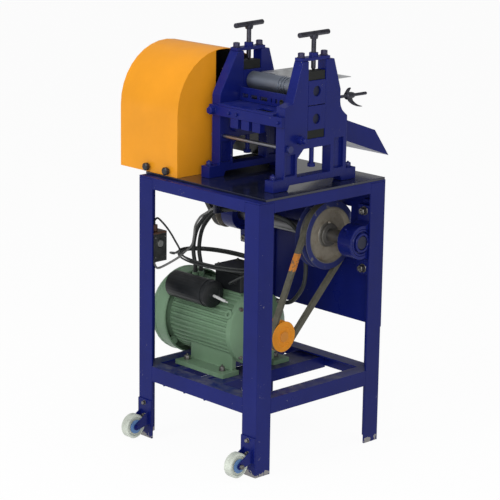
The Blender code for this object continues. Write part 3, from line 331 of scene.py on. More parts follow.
# Finishes
# the near-black for the cover's inner faces is painted shade
enamelLook = {"navy": (0.0055, 0.0105, 0.122), "orange": (0.78, 0.305, 0.014), "green": (0.165, 0.270, 0.170),
              "dust": (0.16, 0.16, 0.18), "bare": (0.30, 0.29, 0.29), "coverInsideShade": (0.008, 0.009, 0.010),
              "footTop": 0.05, "coverMiddle": (-0.161, -0.016, 0.83)}


def paintPatches(f):
    return f.noise(5.5, 4, 0.6).over(0.3, 0.7)


def paintSkin(f, lump, strength):
    # fine orange peel over broader lumps
    f.relief(f.noise(420, 2, 0.5) * 0.35 + f.noise(90, 3, 0.5) * lump, strength, 0.0006)


def enamel(name, colour, roughness, coat, lump, dust, chips=0.0, feet=0.0, specular=0.13):
    f = Finish(name, colour, roughness, coat=coat, coatRoughness=0.12, specular=specular)
    paint = f.mottle(paintPatches(f), colour, 0.86, 1.14)
    settled = clamped(f.facing("Z").over(0.3, 1.0) * f.noise(34, 5, 0.65).over(0.42, 0.75) * dust)
    paint = f.blend(settled, paint, (*enamelLook["dust"], 1))
    rough = f.noise(16, 4, 0.6).over(0.3, 0.7) * 0.14 + (roughness - 0.07) + settled * 0.5
    if chips:
        speck = f.noise(210, 4, 0.7) * 0.55 + f.noise(26, 4, 0.6) * 0.45
        worn = speck > (0.665 - chips)
        if feet:
            low = f.axis("Z").over(enamelLook["footTop"], 0.0)
            worn = clamped(worn + ((f.noise(60, 4, 0.6) * low) > (0.50 - feet)))
        paint = f.blend(worn, paint, (*enamelLook["bare"], 1))
        f.give("Metallic", worn * 0.8)
        rough = rough + worn * 0.2
    f.give("Base Color", paint)
    f.give("Roughness", clamped(rough))
    paintSkin(f, lump, 0.12 + 0.3 * lump)
    return f.material


def coverEnamel(name, colour, centre):
    # bright outside, near-black inside as painted shade: an inner face looks at the middle of the cover
    f = Finish(name, colour, 0.36, coat=0.08, coatRoughness=0.15, specular=0.2)
    paint = f.mottle(paintPatches(f), colour, 0.93, 1.06)
    away = sum((f.facing(axis) * (f.axis(axis) - middle) for axis, middle in zip("XYZ", centre)), 0.0)
    # faces that look inwards take a near-black painted shade in place of the orange
    f.give("Base Color", f.blend(away < -0.004, paint, (*enamelLook["coverInsideShade"], 1)))
    f.give("Roughness", clamped(f.noise(16, 4, 0.6).over(0.3, 0.7) * 0.14 + 0.29))
    paintSkin(f, 0.05, 0.13)
    return f.material


def turnedSteel(name, colour, roughness, paintFrom, paint, oil=0.35):
    # the end past paintFrom on X was painted over with the rest; the roller and countershaft ends take a colour darker
    # than the enamel, painted shade of the recesses they sit in
    f = Finish(name, colour, roughness, metallic=1.0)
    smear = f.noise(13, 5, 0.65, (0.35, 1, 1)).over(0.38, 0.72)
    metal = f.mottle(smear * oil, colour, 1.1, 0.35)
    end = f.axis("X") > paintFrom
    f.give("Base Color", f.blend(end, metal, (*paint, 1)))
    f.give("Metallic", 1 - end)
    f.give("Roughness", clamped(f.noise(45, 4, 0.6) * 0.18 + (roughness - 0.09) + smear * oil * 0.25))
    turns = f.axis("X") * 2600.0  # a ring of the lathe tool every 2.4 mm
    f.relief(turns.join("SINE", turns, 0) * 0.25 + f.noise(160, 3, 0.6) * 0.6, 0.10, 0.0002)
    return f.material


def oiledSteel(name, colour, roughness, metallic):
    f = Finish(name, colour, roughness, metallic=metallic)
    f.give("Base Color", f.mottle(f.noise(38, 5, 0.6).over(0.35, 0.7), colour, 0.7, 1.6))
    f.give("Roughness", clamped(f.noise(70, 4, 0.6) * 0.25 + roughness - 0.1))
    f.relief(f.noise(240, 4, 0.6), 0.18, 0.0004)
    return f.material


pulleyLook = {"web": (0.33, 0.295, 0.235), "rust": (0.19, 0.115, 0.065), "rim": (0.20, 0.19, 0.165),
              "dark": (0.05, 0.055, 0.06), "blue": (0.028, 0.036, 0.145), "centre": (0.14375, 0.538),
              "hub": 0.031, "rimFrom": 0.0705, "blueFrom": 0.0735}


def ironPulley(name, zones=None):
    # zones: an oily hub, a darker rim and a band of blue paint on the rim's outer face
    f = Finish(name, pulleyLook["web"], 0.5, metallic=0.55)
    patch = f.noise(30, 6, 0.65)
    metal = f.mottle(patch.over(0.3, 0.7), pulleyLook["web"], 0.75, 1.25)
    metal = f.blend(clamped(f.noise(75, 5, 0.7).over(0.55, 0.72) * 0.6), metal, (*pulleyLook["rust"], 1))
    band = 0.0
    if zones:
        reach = f.around(zones["centre"], "Y", "Z")
        rim = clamped(reach.over(zones["rimFrom"], zones["rimFrom"] + 0.002))
        metal = f.blend(rim, metal, (*zones["rim"], 1))
        hub = clamped(reach.over(zones["hub"] + 0.003, zones["hub"]))
        metal = f.blend(hub * 0.75, metal, (*zones["dark"], 1))
        flat = clamped(f.facing("X").over(0.4, 0.9))
        band = clamped(reach.over(zones["blueFrom"], zones["blueFrom"] + 0.0012)) * flat
        metal = f.blend(band * (1 - (f.noise(50, 4, 0.6) > 0.64) * 0.6), metal, (*zones["blue"], 1))
    f.give("Base Color", metal)
    f.give("Metallic", 0.3 - band * 0.25)
    f.give("Roughness", clamped(patch * 0.35 + 0.3))
    f.relief(f.noise(190, 4, 0.6), 0.2, 0.0005)
    return f.material


def beltRubber(name, colour, stripe=None):
    f = Finish(name, colour, 0.75)
    dusty = f.noise(60, 5, 0.7).over(0.35, 0.75)
    rubber = f.mottle(dusty * 0.6, colour, 0.75, 1.7)
    if stripe:
        # a plain painted tally mark across one strand
        height = f.axis("Z")
        band = (height > stripe["from"]) * (height < stripe["to"]) * (f.axis("Y") < stripe["before"])
        rubber = f.blend(band * (f.noise(140, 3, 0.6) > 0.42), rubber, (*stripe["colour"], 1))
    f.give("Base Color", rubber)
    f.give("Roughness", clamped(dusty * 0.2 + 0.62))
    weave = f.make("TexWave", {"bands_direction": "DIAGONAL"}, {"Vector": f.where, "Scale": 420, "Distortion": 0.4},
                   "Fac")
    f.relief(weave * 0.5 + f.noise(300, 3, 0.6) * 0.5, 0.22, 0.0004)
    return f.material


def moulded(name, colour, roughness, grain=0.2, dust=0.25):
    f = Finish(name, colour, roughness)
    cloud = f.noise(28, 4, 0.6).over(0.35, 0.7)
    settled = clamped(f.facing("Z").over(0.2, 1.0) * f.noise(50, 5, 0.7).over(0.4, 0.75) * dust)
    f.give("Base Color", f.blend(settled, f.mottle(cloud, colour, 0.8, 1.25), (*enamelLook["dust"], 1)))
    f.give("Roughness", clamped(f.noise(80, 3, 0.6) * 0.16 + roughness - 0.08 + settled * 0.4))
    f.relief(f.noise(600, 2, 0.5), grain, 0.0003)
    return f.material


def twoTone(name, low, high, level):
    # a black moulding whose top part is brown
    f = Finish(name, low, 0.45)
    edge = clamped((f.axis("Z") + f.noise(90, 3, 0.5) * 0.006).over(level, level + 0.004))
    body = f.mottle(f.noise(60, 4, 0.6).over(0.35, 0.7), low, 0.8, 1.6)
    f.give("Base Color", f.blend(edge, body, (*high, 1)))
    f.give("Roughness", clamped(f.noise(80, 3, 0.6) * 0.2 + 0.36))
    f.relief(f.noise(500, 2, 0.5), 0.15, 0.0003)
    return f.material


def lowBlock(name, padFoot, padTop, padColour):
    # the lower bearing block is painted with the casting, its pad is near-black
    f = Finish(name, enamelLook["navy"], 0.34, coat=0.1, specular=0.13)
    pad = clamped(f.axis("Z").over(padTop + 0.0002, padTop)) * (f.axis("Z") > padFoot)
    paint = f.mottle(paintPatches(f), enamelLook["navy"], 0.86, 1.14)
    f.give("Base Color", f.blend(pad, paint, (*padColour, 1)))
    f.give("Roughness", clamped(f.noise(16, 4, 0.6) * 0.14 + 0.3 + pad * 0.15))
    paintSkin(f, 0.5, 0.2)
    return f.material


def zincSheet(name, colour):
    f = Finish(name, colour, 0.38, metallic=0.9)
    flake = f.make("TexVoronoi", {}, {"Vector": f.where, "Scale": 70}, "Color")
    tone = f.make("SeparateXYZ", {}, {"Vector": flake}, "X")
    f.give("Base Color", f.mottle(tone, colour, 0.8, 1.15))
    f.give("Roughness", clamped(tone * 0.15 + f.noise(20, 4, 0.6) * 0.2 + 0.25))
    f.relief(f.noise(220, 3, 0.6), 0.08, 0.0003)
    return f.material


navy = enamelLook["navy"]
# roller journal ends: navy paint, darkened further as painted shade of their recess in the side frames
rollerEndPaintAndShade = {"paintFrom": 0.2045, "paint": (0.008, 0.01, 0.035)}
beltStripe = {"from": 0.462, "to": 0.505, "before": 0.10, "colour": (0.62, 0.22, 0.035)}
finishes = {
    "navy": enamel("navyEnamel", navy, 0.34, 0.05, lump=0.06, dust=0.12, chips=0.004),
    "legs": enamel("legEnamel", navy, 0.36, 0.04, lump=0.05, dust=0.12, chips=0.006, feet=0.07),
    "casting": enamel("castingEnamel", navy, 0.32, 0.10, lump=0.55, dust=0.12, chips=0.012),
    "table": enamel("tableEnamel", (0.008, 0.010, 0.028), 0.14, 0.6, lump=0.03, dust=0.10, chips=0.01,
                    specular=0.22),
    "orange": coverEnamel("coverEnamel", enamelLook["orange"], enamelLook["coverMiddle"]),
    "green": enamel("motorEnamel", enamelLook["green"], 0.42, 0.12, lump=0.45, dust=0.3),
    # the lower roller's steel is a darker colour than the upper roller's
    "lowRoller": turnedSteel("darkRollerSteel", (0.05, 0.055, 0.06), 0.55, **rollerEndPaintAndShade),
    "steel": turnedSteel("rollerSteel", (0.21, 0.235, 0.28), 0.50, **rollerEndPaintAndShade),
    # the countershaft's end: navy paint, darkened further as painted shade of the hollow in the bearing insert
    "shaft": turnedSteel("shaftSteel", (0.26, 0.26, 0.27), 0.34, 0.2610, (0.006, 0.008, 0.03), 0.5),
    "motorShaft": turnedSteel("motorShaftSteel", (0.3, 0.3, 0.3), 0.34, 0.1495, (0.66, 0.24, 0.02), 0.5),
    "rod": turnedSteel("rodSteel", (0.36, 0.37, 0.40), 0.3, 0.2325, (0.014, 0.019, 0.10), 0.4),
    "motorPulley": enamel("pulleyEnamel", (0.82, 0.30, 0.02), 0.4, 0.05, lump=0.1, dust=0.03),
    "lowRails": enamel("lowRailEnamel", navy, 0.34, 0.04, lump=0.05, dust=0.85, chips=0.004),
    "oiled": oiledSteel("oiledSteel", (0.045, 0.045, 0.058), 0.42, 0.8),
    "iron": ironPulley("toothedIron"),
    "largePulley": ironPulley("drivePulleyIron", pulleyLook),
    "beltDrive": beltRubber("driveBeltRubber", (0.105, 0.10, 0.075), beltStripe),
    "beltRoller": beltRubber("rollerBeltRubber", (0.03, 0.03, 0.03)),
    "black": moulded("blackMoulding", (0.009, 0.0105, 0.012), 0.40, grain=0.15, dust=0.12),
    "knob": moulded("knobMoulding", (0.02, 0.021, 0.026), 0.22, grain=0.05, dust=0.1),
    "wheel": moulded("wheelNylon", (0.56, 0.60, 0.53), 0.36, grain=0.08, dust=0.3),
    "hub": moulded("wheelHub", (0.09, 0.19, 0.40), 0.35, grain=0.08, dust=0.1),
    "button": moulded("buttonGrey", (0.16, 0.165, 0.16), 0.35, grain=0.05),
    "switch": twoTone("switchMoulding", (0.022, 0.024, 0.024), (0.085, 0.04, 0.025), 0.5445),
    "sleeve": moulded("sleeveWhite", (0.60, 0.61, 0.60), 0.4, grain=0.1, dust=0.1),
    "pad": moulded("padPaint", (0.005, 0.006, 0.005), 0.6, grain=0.2, dust=0.2),
    "lowBlock": lowBlock("lowBlockEnamel", 0.815, 0.8412, (0.008, 0.010, 0.009)),
    "cord": moulded("cordRubber", (0.026, 0.029, 0.029), 0.5, grain=0.12, dust=0.2),
    "greyCord": moulded("greyJacket", (0.21, 0.21, 0.205), 0.5, grain=0.1, dust=0.2),
    "zinc": zincSheet("zincSheet", (0.50, 0.51, 0.52)),
    "bolt": oiledSteel("boltSteel", (0.16, 0.155, 0.15), 0.38, 0.9),
    "boltPainted": enamel("boltEnamel", (0.022, 0.020, 0.062), 0.4, 0.1, lump=0.2, dust=0.5, chips=0.05),
}
print("finishes made")


# Modelling helpers
def onlyActive(piece):
    bpy.ops.object.select_all(action="DESELECT")
    piece.select_set(True)
    bpy.context.view_layer.objects.active = piece


def applyAll(piece):
    onlyActive(piece)
    for modifier in list(piece.modifiers):
        bpy.ops.object.modifier_apply(modifier=modifier.name)


def addModifier(piece, kind, **settings):
    modifier = piece.modifiers.new(kind.lower(), kind)
    for key, value in settings.items():
        setattr(modifier, key, value)


def roundEdges(piece, width, segments, angle, **settings):
    addModifier(piece, "BEVEL", width=width, segments=segments, limit_method="ANGLE", angle_limit=radians(angle),
                **settings)
    applyAll(piece)


def settle(piece, name, material, body, smoothAngle=35):
    # the place goes into the mesh, the finish and the body are set
    onlyActive(piece)
    bpy.ops.object.transform_apply(location=True, rotation=True, scale=True)
    bpy.ops.object.shade_smooth_by_angle(angle=radians(smoothAngle))
    piece.name = name
    piece.data.name = name
    piece.data.materials.clear()
    piece.data.materials.append(material)
    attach(piece, body)


def finished(piece, name, material, body):
    # broad flat faces keep their own normal, so only the rounded edges shade as round
    settle(piece, name, material, body)
    addModifier(piece, "WEIGHTED_NORMAL", mode="FACE_AREA", weight=80, keep_sharp=True)
    applyAll(piece)


def bodyOf(node):
    # the body that the record puts a node on
    for body, members in frame["record"]["behaviour"]["bodies"].items():
        if node in members:
            return body


def copyMesh(node, splits):
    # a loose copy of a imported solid, merged into one skin; a face with an opening in it is parted by a seam
    # through the opening, so that each face stays a plain polygon
    near = 0.00001
    piece = bpy.data.objects.new(node + "Skin", nodes[node].data.copy())
    scene.collection.objects.link(piece)
    onlyActive(piece)
    bpy.ops.object.mode_set(mode="EDIT")
    bpy.ops.mesh.select_all(action="SELECT")
    bpy.ops.mesh.remove_doubles(threshold=near)
    bpy.ops.mesh.select_mode(type="EDGE")
    for axis, place in splits:
        spot = inRow(*(place if name == axis else 0 for name in "XYZ"))
        bpy.ops.mesh.select_all(action="SELECT")
        bpy.ops.mesh.bisect(plane_co=spot, plane_no=[float(name == axis) for name in "XYZ"], threshold=near)
        bpy.ops.mesh.mark_seam(clear=False)
    bpy.ops.mesh.select_all(action="SELECT")
    bpy.ops.mesh.dissolve_limited(angle_limit=radians(0.5), use_dissolve_boundaries=False, delimit={"SEAM"})
    bpy.ops.mesh.customdata_custom_splitnormals_clear()
    bpy.ops.object.mode_set(mode="OBJECT")
    return piece


def soften(node, finish, width, segments=2, angle=30, splits=()):
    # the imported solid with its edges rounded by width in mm, as paint and casting leave them
    piece = copyMesh(node, splits)
    roundEdges(piece, width * mm, segments, angle, use_clamp_overlap=False, harden_normals=False)
    finished(piece, node + "Skin", finishes[finish], bodyOf(node))
    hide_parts(node)


def joined(pieces):
    onlyActive(pieces[0])
    for piece in pieces[1:]:
        piece.select_set(True)
    if len(pieces) > 1:
        bpy.ops.object.join()
    return bpy.context.view_layer.objects.active


def placed(piece, spot, axis):
    # a piece that was modelled along Z goes to its spot and lies along another axis; its head points that way
    turn = Vector((0, 0, 1)).rotation_difference(Vector(axis))
    piece.data.transform(Matrix.Translation(inRow(*spot)) @ turn.to_matrix().to_4x4())
    return piece


def editFaces(piece, test):
    # goes into edit mode with the faces picked whose normals pass the test
    onlyActive(piece)
    bpy.ops.object.mode_set(mode="EDIT")
    bpy.ops.mesh.select_mode(type="FACE")
    mesh = bmesh.from_edit_mesh(piece.data)
    for face in mesh.faces:
        face.select = test(face.normal)
    mesh.select_flush_mode()
    bmesh.update_edit_mesh(piece.data)


def leaveEdit():
    # turns the faces outwards on the way out
    bpy.ops.mesh.select_all(action="SELECT")
    bpy.ops.mesh.normals_make_consistent(inside=False)
    bpy.ops.object.mode_set(mode="OBJECT")


# shares of the size across flats, of the head's height, or of the head's radius for the chamfer
hexHead = {"chamfer": 0.12, "crown": 0.14, "height": 0.62, "edge": 0.025, "washer": 1.3664, "washerHeight": 0.12,
           "washerEdge": 0.3, "stud": 0.528}


def hexBolt(size, washer=True, stud=0.0):
    # size is across flats; the seat is at Z 0 and the head points up
    s = hexHead
    size = size * mm
    radius = size / 2 / cos(pi / 6)
    parts = []
    lift = 0.0
    if washer:
        lift = size * s["washerHeight"]
        bpy.ops.mesh.primitive_cylinder_add(vertices=20, radius=size * s["washer"] / 2, depth=lift,
                                            location=(0, 0, lift / 2))
        disc = bpy.context.object
        roundEdges(disc, lift * s["washerEdge"], 1, 40)
        parts.append(disc)
    high = size * s["height"]
    bpy.ops.mesh.primitive_cylinder_add(vertices=6, radius=radius, depth=high, location=(0, 0, lift + high / 2))
    head = bpy.context.object
    editFaces(head, lambda normal: normal.z > 0.9)
    bpy.ops.mesh.inset(thickness=radius * s["chamfer"])
    bpy.ops.transform.translate(value=(0, 0, high * s["crown"]))
    if stud:
        bpy.ops.mesh.inset(thickness=max(0.0002, radius * (1 - s["chamfer"]) - size * s["stud"] / 2))
        bpy.ops.mesh.extrude_region_move(TRANSFORM_OT_translate={"value": (0, 0, stud * mm)})
    bpy.ops.mesh.select_all(action="DESELECT")
    bpy.ops.object.mode_set(mode="OBJECT")
    roundEdges(head, size * s["edge"], 1, 28)
    parts.append(head)
    bolt = joined(parts)
    onlyActive(bolt)
    bpy.ops.object.transform_apply(location=True, rotation=True, scale=True)
    return bolt


def boltRow(name, finish, size, places, axis, spin=0.0, washer=True, stud=0.0):
    # one bolt, copied to every place with its own mesh, then joined into one piece
    first = hexBolt(size, washer, stud)
    first.data.transform(Matrix.Rotation(radians(spin), 4, "Z"))
    copies = []
    for number, place in enumerate(places):
        copy = bpy.data.objects.new("%s%d" % (name, number), first.data.copy())
        scene.collection.objects.link(copy)
        copies.append(placed(copy, place, axis))
    bpy.data.objects.remove(first)
    settle(joined(copies), name, finishes[finish], "stand", 25)


# Places that several pieces share
frameX = {"left": -62, "right": 167}
casterX = {"left": -195, "right": 195}
casterAxle = (-262, 39.5)
counterAxis = (150, 538)
motorAxis = (-12, 297.3)
toFront, toBack, toLeft, toRight, toTop = (0, -1, 0), (0, 1, 0), (-1, 0, 0), (1, 0, 0), (0, 0, 1)

# Stand: the seams pass through the openings of each piece, clear of corners by more than the edge rounding
ringSplits = (("X", 0.37), ("Y", 0.43))
railSplits = ringSplits + (("X", -25.4), ("X", -159.4), ("X", -11.3), ("Z", 169.1))
for name in ("front_left", "front_right", "rear_left", "rear_right"):
    soften("leg_" + name, "legs", 0.9)
soften("top_frame", "navy", 0.8, splits=ringSplits)
soften("lower_frame", "lowRails", 0.3, splits=railSplits)
soften("table_top", "table", 0.8, splits=(("X", -110.4), ("Z", 598.4), ("Y", -36.3)))
soften("back_panel", "navy", 0.4, 1, splits=(("X", 79.6), ("Z", 538.3)))
for side, middle in casterX.items():
    soften("caster_fork_" + side, "navy", 0.4, splits=(("X", middle + 1.3), ("Z", 40.5)))
print("stand dressed")

# Castings and what they carry
frameSplits = (("Y", 2.1), ("Y", -86.3), ("Y", 87.9), ("Y", -54.2))
for side, middle in frameX.items():
    seamX, seamY = ("X", middle + 2.7), ("Y", 8.7)
    soften("side_frame_" + side, "casting", 1.3, splits=frameSplits)
    soften("bridge_plate_" + side, "casting", 0.8, splits=(seamY, seamX))
    soften("upper_block_" + side, "casting", 0.6, splits=(("Z", 936.3),))
    soften("lower_block_" + side, "lowBlock", 0.2, splits=(("Z", 868.3), seamY, ("Z", 831.2)))
    soften("pressure_pad_" + side, "pad", 0.8)
    soften("pressure_screw_" + side, "oiled", 0.4, 1, 40, splits=(seamX, seamY))
for side in ("left", "right"):
    soften("pillow_block_" + side, "casting", 1.6, splits=(("Z", 538.3), ("Y", 150.3)))
soften("feed_guide", "navy", 0.5, splits=(("Z", 902.2),))
soften("feed_shelf", "navy", 0.6, splits=(("X", 99.4), ("Y", -80.2)))
soften("front_crossbar", "navy", 0.8, splits=(("X", 17.3), ("X", 56.3), ("X", 95.3), ("Z", 870.4)))
soften("discharge_chute", "navy", 0.3, 1)
soften("outfeed_plate", "zinc", 0.3, 1, splits=(("X", 52.4),))
soften("gear_cover", "orange", 0.4, splits=(("X", -211.6), ("X", -136.6), ("X", -170.3), ("Z", 713.7), ("Y", -40.4)))
print("castings dressed")

# Rollers and gears, the motor and the boxes
soften("upper_roller", "steel", 0.4, 1, 50)
soften("lower_roller", "lowRoller", 0.4, 1, 50)
soften("upper_gear", "iron", 0.5, 1, splits=(("Z", 936.3),))
soften("lower_gear", "iron", 0.5, 1, splits=(("Z", 868.3),))
soften("motor_body", "green", 0.4, 1, 35, splits=(("Y", -9.1), ("Z", 300.4), ("X", -134.1), ("X", -40.3)))
soften("terminal_box", "black", 2.0, 3, splits=(("X", -59.6), ("Y", -17.7)))
soften("switch_box", "switch", 1.4, 3, splits=(("X", -194.9), ("Y", -189.4), ("Z", 518.7)))

# Solids that stay as packed, and the cords, get their finish only
asPacked = {"tie_rod": "rod", "countershaft": "shaft", "motor_shaft": "motorShaft", "counter_pulley": "iron",
            "roller_pulley": "iron", "drive_belt": "beltDrive", "roller_belt": "beltRoller", "fan_cowl": "green",
            "capacitor": "black", "switch_button": "button", "caster_wheel_left": "wheel",
            "caster_wheel_right": "wheel", "cover_knob_left": "knob", "cover_knob_right": "knob"}
for node, finish in asPacked.items():
    for entry in nodes[node].material_slots:
        entry.material = finishes[finish]
for piece, finish in cords:
    piece.data.materials.append(finishes[finish])
print("rollers, motor and cords dressed")


def lathed(profile, sides):
    # a turned piece along Z: a disc drawn out, widened or narrowed from one profile point to the next
    (radius, low), (nextRadius, high) = profile[:2]
    bpy.ops.object.select_all(action="DESELECT")
    bpy.ops.mesh.primitive_cylinder_add(vertices=sides, radius=radius * mm, depth=(high - low) * mm,
                                        location=(0, 0, (low + high) / 2 * mm))
    piece = bpy.context.object
    bpy.ops.object.transform_apply(location=True)
    editFaces(piece, lambda normal: normal.z > 0.9)
    at = high
    if nextRadius != radius:
        share = nextRadius / radius
        bpy.ops.transform.resize(value=(share, share, 1), center_override=(0, 0, high * mm))
    for width, height in profile[2:]:
        bpy.ops.mesh.extrude_region_move(TRANSFORM_OT_translate={"value": (0, 0, (height - at) * mm)})
        share = width / nextRadius
        if share != 1:
            bpy.ops.transform.resize(value=(share, share, 1), center_override=(0, 0, height * mm))
        at, nextRadius = height, width
    leaveEdit()
    return piece


def turned(profile, sides, spot, axis):
    return placed(lathed(profile, sides), spot, axis)


def block(low, high, edge=0.0):
    # a box between two corners in the stand's frame, with rounded edges
    middle = [(a + b) / 2 for a, b in zip(low, high)]
    bpy.ops.object.select_all(action="DESELECT")
    bpy.ops.mesh.primitive_cube_add(size=mm, location=inRow(*middle), scale=[b - a for a, b in zip(low, high)])
    piece = bpy.context.object
    bpy.ops.object.transform_apply(location=True, rotation=True, scale=True)
    if edge:
        roundEdges(piece, edge * mm, 2, 40)
    return piece


# Pulleys: their belt grooves are the same, places and widths along X
pulleyShape = {"left": 62, "wide": 40, "grooves": (72, 92), "top": 9, "bottom": 6, "depth": 13}
bigPulley = {"radius": 90, "rim": 71, "hub": 29.5, "web": (13, 27), "bore": 17.9, "screw": 9, "screwX": 97}
smallPulley = {"radius": 40, "back": 15, "recess": (26, 25), "end": (18, 17, 14.4)}


def grooveSteps(radius):
    s = pulleyShape
    steps = []
    for middle in s["grooves"]:
        m = middle - s["left"]
        steps += [(radius, m - s["top"]), (radius - s["depth"], m - s["bottom"]),
                  (radius - s["depth"], m + s["bottom"]), (radius, m + s["top"])]
    return steps


def makeLargePulley(s):
    # a cast rim, a thin web and a hub with a set screw
    radius, rim, hub, (low, high) = s["radius"], s["rim"], s["hub"], s["web"]
    wide = pulleyShape["wide"]
    profile = [(hub, 0), (hub, low - 3), (hub + 3, low), (rim - 3, low), (rim, low - 3), (rim + 1, 0.6), (rim + 2, 0),
               (radius - 1, 0), (radius, 1)] + grooveSteps(radius)
    profile += [(radius, wide - 0.6), (radius - 0.6, wide), (rim + 1, wide), (rim, wide - 1), (rim - 2, high + 3),
                (rim - 5, high), (hub + 4, high), (hub, high + 4), (hub, wide - 1.5), (hub - 1.5, wide),
                (s["bore"], wide)]
    y, z = counterAxis
    casting = turned(profile, 72, (pulleyShape["left"], y, z), toRight)
    screw = placed(hexBolt(s["screw"], False), (s["screwX"], y, z + hub), toTop)
    whole = joined([casting, screw])
    finished(whole, "largePulleyCasting", finishes["largePulley"], "countershaft")
    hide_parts("large_pulley")


def makeMotorPulley(s):
    # a painted disc with a shallow recess round its hub
    radius, wide = s["radius"], pulleyShape["wide"]
    profile = [(s["back"], 0), (s["back"], 0.8), (radius - 1, 1), (radius, 1.2)] + grooveSteps(radius)
    profile += [(radius, wide - 1.2), (radius - 1.2, wide), (s["recess"][0], wide), (s["recess"][1], wide - 1.5),
                (s["end"][0], wide - 1.5), (s["end"][1], wide - 0.3), (s["end"][2], wide - 0.3)]
    disc = turned(profile, 56, (pulleyShape["left"], *motorAxis), toRight)
    finished(disc, "motorPulleyCasting", finishes["motorPulley"], "motor_rotor")
    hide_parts("motor_pulley")


makeLargePulley(bigPulley)
makeMotorPulley(smallPulley)
print("pulleys made")


# Bearing inserts in the pillow blocks: two rings and a grease nipple
insertLook = {"faces": (("right", 212, 1), ("left", -267, -1)), "rings": ((34.4, 29, 0.4), (25, 18.6, 3.4)),
              "nipple": [(4, 0), (4, 3), (2.2, 3.4), (2.2, 7), (3.2, 8), (3.2, 10), (1.6, 11.6)],
              "nippleBack": 22, "nippleOut": 31, "nippleUp": 30.5}


def makeInserts(s):
    y, z = counterAxis
    for side, face, way in s["faces"]:
        parts = []
        for outer, inner, rise in s["rings"]:
            ring = [(outer, -4.6), (outer, rise - 1), (outer - 1, rise), (inner + 1, rise), (inner, rise - 1),
                    (inner - 0.2, -4.4)]
            parts.append(turned(ring, 48, (face, y, z), (way, 0, 0)))
        spot = (face - way * s["nippleBack"], y - s["nippleOut"], z + s["nippleUp"])
        parts.append(turned(s["nipple"], 14, spot, (0, -1, 1)))
        finished(joined(parts), "bearingInsert" + side.capitalize(), finishes["casting"], "stand")


makeInserts(insertLook)
print("bearing inserts made")


# Motor: boss on the body, end shield bolts, the capacitor's band and sleeve, glands and lid screws
motorLook = {"radius": 97, "bossX": -14, "bossAngle": 150, "shieldX": 5.2, "boltRing": 90,
             "boss": [(13, -6), (12.2, 2.6), (11.4, 3.4), (5.6, 3.4), (5, 2.6), (4.6, -2)],
             "capacitor": (-106.75, 392.05), "bandX": -84, "band": [(35.2, 0), (36.4, 0.6), (36.4, 7.4), (35.2, 8)],
             "capX": -64.6, "cap": [(35, 0), (35, 3), (32, 5.2), (20, 5.8), (19, 4.2), (6, 4.2)],
             "sleeve": [(3.2, 0), (3.8, 2), (3.8, 40), (3.0, 42), (1.8, 42.4), (1.8, 50)],
             "sleeveSpot": (-60, -107, 389), "sleeveAxis": (0.96, 0.06, -0.16),
             "glands": (((-30, -58.2, 421.3), toFront, 6.5), ((-70.5, 22.2, 421.3), toBack, 10)),
             "lidScrews": [(x, y, 456.6) for x in (-102, -18) for y in (-52, 16)]}


def onMotor(x, angle, radius):
    a = radians(angle)
    return (x, motorAxis[0] + radius * cos(a), motorAxis[1] + radius * sin(a))


def makeMotorDetails(s):
    a = radians(s["bossAngle"])
    boss = turned(s["boss"], 28, onMotor(s["bossX"], s["bossAngle"], s["radius"]), (0, cos(a), sin(a)))
    finished(boss, "motorBoss", finishes["green"], "stand")
    boltRow("shieldBolts", "bolt", 10, [onMotor(s["shieldX"], angle, s["boltRing"]) for angle in (45, 135, 225, 315)],
            toRight, 14)
    band = turned(s["band"], 40, (s["bandX"], *s["capacitor"]), toRight)
    cap = turned(s["cap"], 40, (s["capX"], *s["capacitor"]), toRight)
    finished(joined([band, cap]), "capacitorBand", finishes["black"], "stand")
    sleeve = turned(s["sleeve"], 18, s["sleeveSpot"], s["sleeveAxis"])
    finished(sleeve, "wireSleeve", finishes["sleeve"], "stand")
    collars = [turned([(r, 0), (r, 2.4), (r * 0.82, 3), (r * 0.8, 9), (r * 0.62, 10)], 6, spot, axis)
               for spot, axis, r in s["glands"]]
    finished(joined(collars), "terminalGlands", finishes["black"], "stand")
    boltRow("lidScrews", "bolt", 5, s["lidScrews"], toTop, washer=False)


makeMotorDetails(motorLook)
print("motor details made")


# Wing screws: a threaded stud, a hub and two swept wings that are drawn out of its sides
wingLook = {"stud": 4, "length": 108, "hub": (34, 62), "hubRadius": 9.5, "start": (90.4, 910), "pitch": 3,
            "width": 20, "thick": 5, "root": 8, "off": 7, "low": ((1, 7, -7), (2, 10, -7), (2, 11, -4), (2, 9, -2)),
            "high": ((-7, 7, 2), (-6, 9, 3), (-5, 9, 4), (-3, 8, 3))}


def makeWing(spot, size, way, steps):
    tongue = block([a - b / 2 for a, b in zip(spot, size)], [a + b / 2 for a, b in zip(spot, size)])
    editFaces(tongue, lambda normal: normal.dot(Vector(way)) > 0.9)
    at = Vector(spot) + Vector([a * b / 2 for a, b in zip(way, size)])
    for step in steps:
        bpy.ops.mesh.extrude_region_move(TRANSFORM_OT_translate={"value": [v * mm for v in step]})
        at = at + Vector(step)
        bpy.ops.transform.resize(value=(0.97, 0.93, 0.97), center_override=inRow(*at))
    bpy.ops.object.mode_set(mode="OBJECT")
    addModifier(tongue, "SUBSURF", levels=2)
    applyAll(tongue)
    return tongue


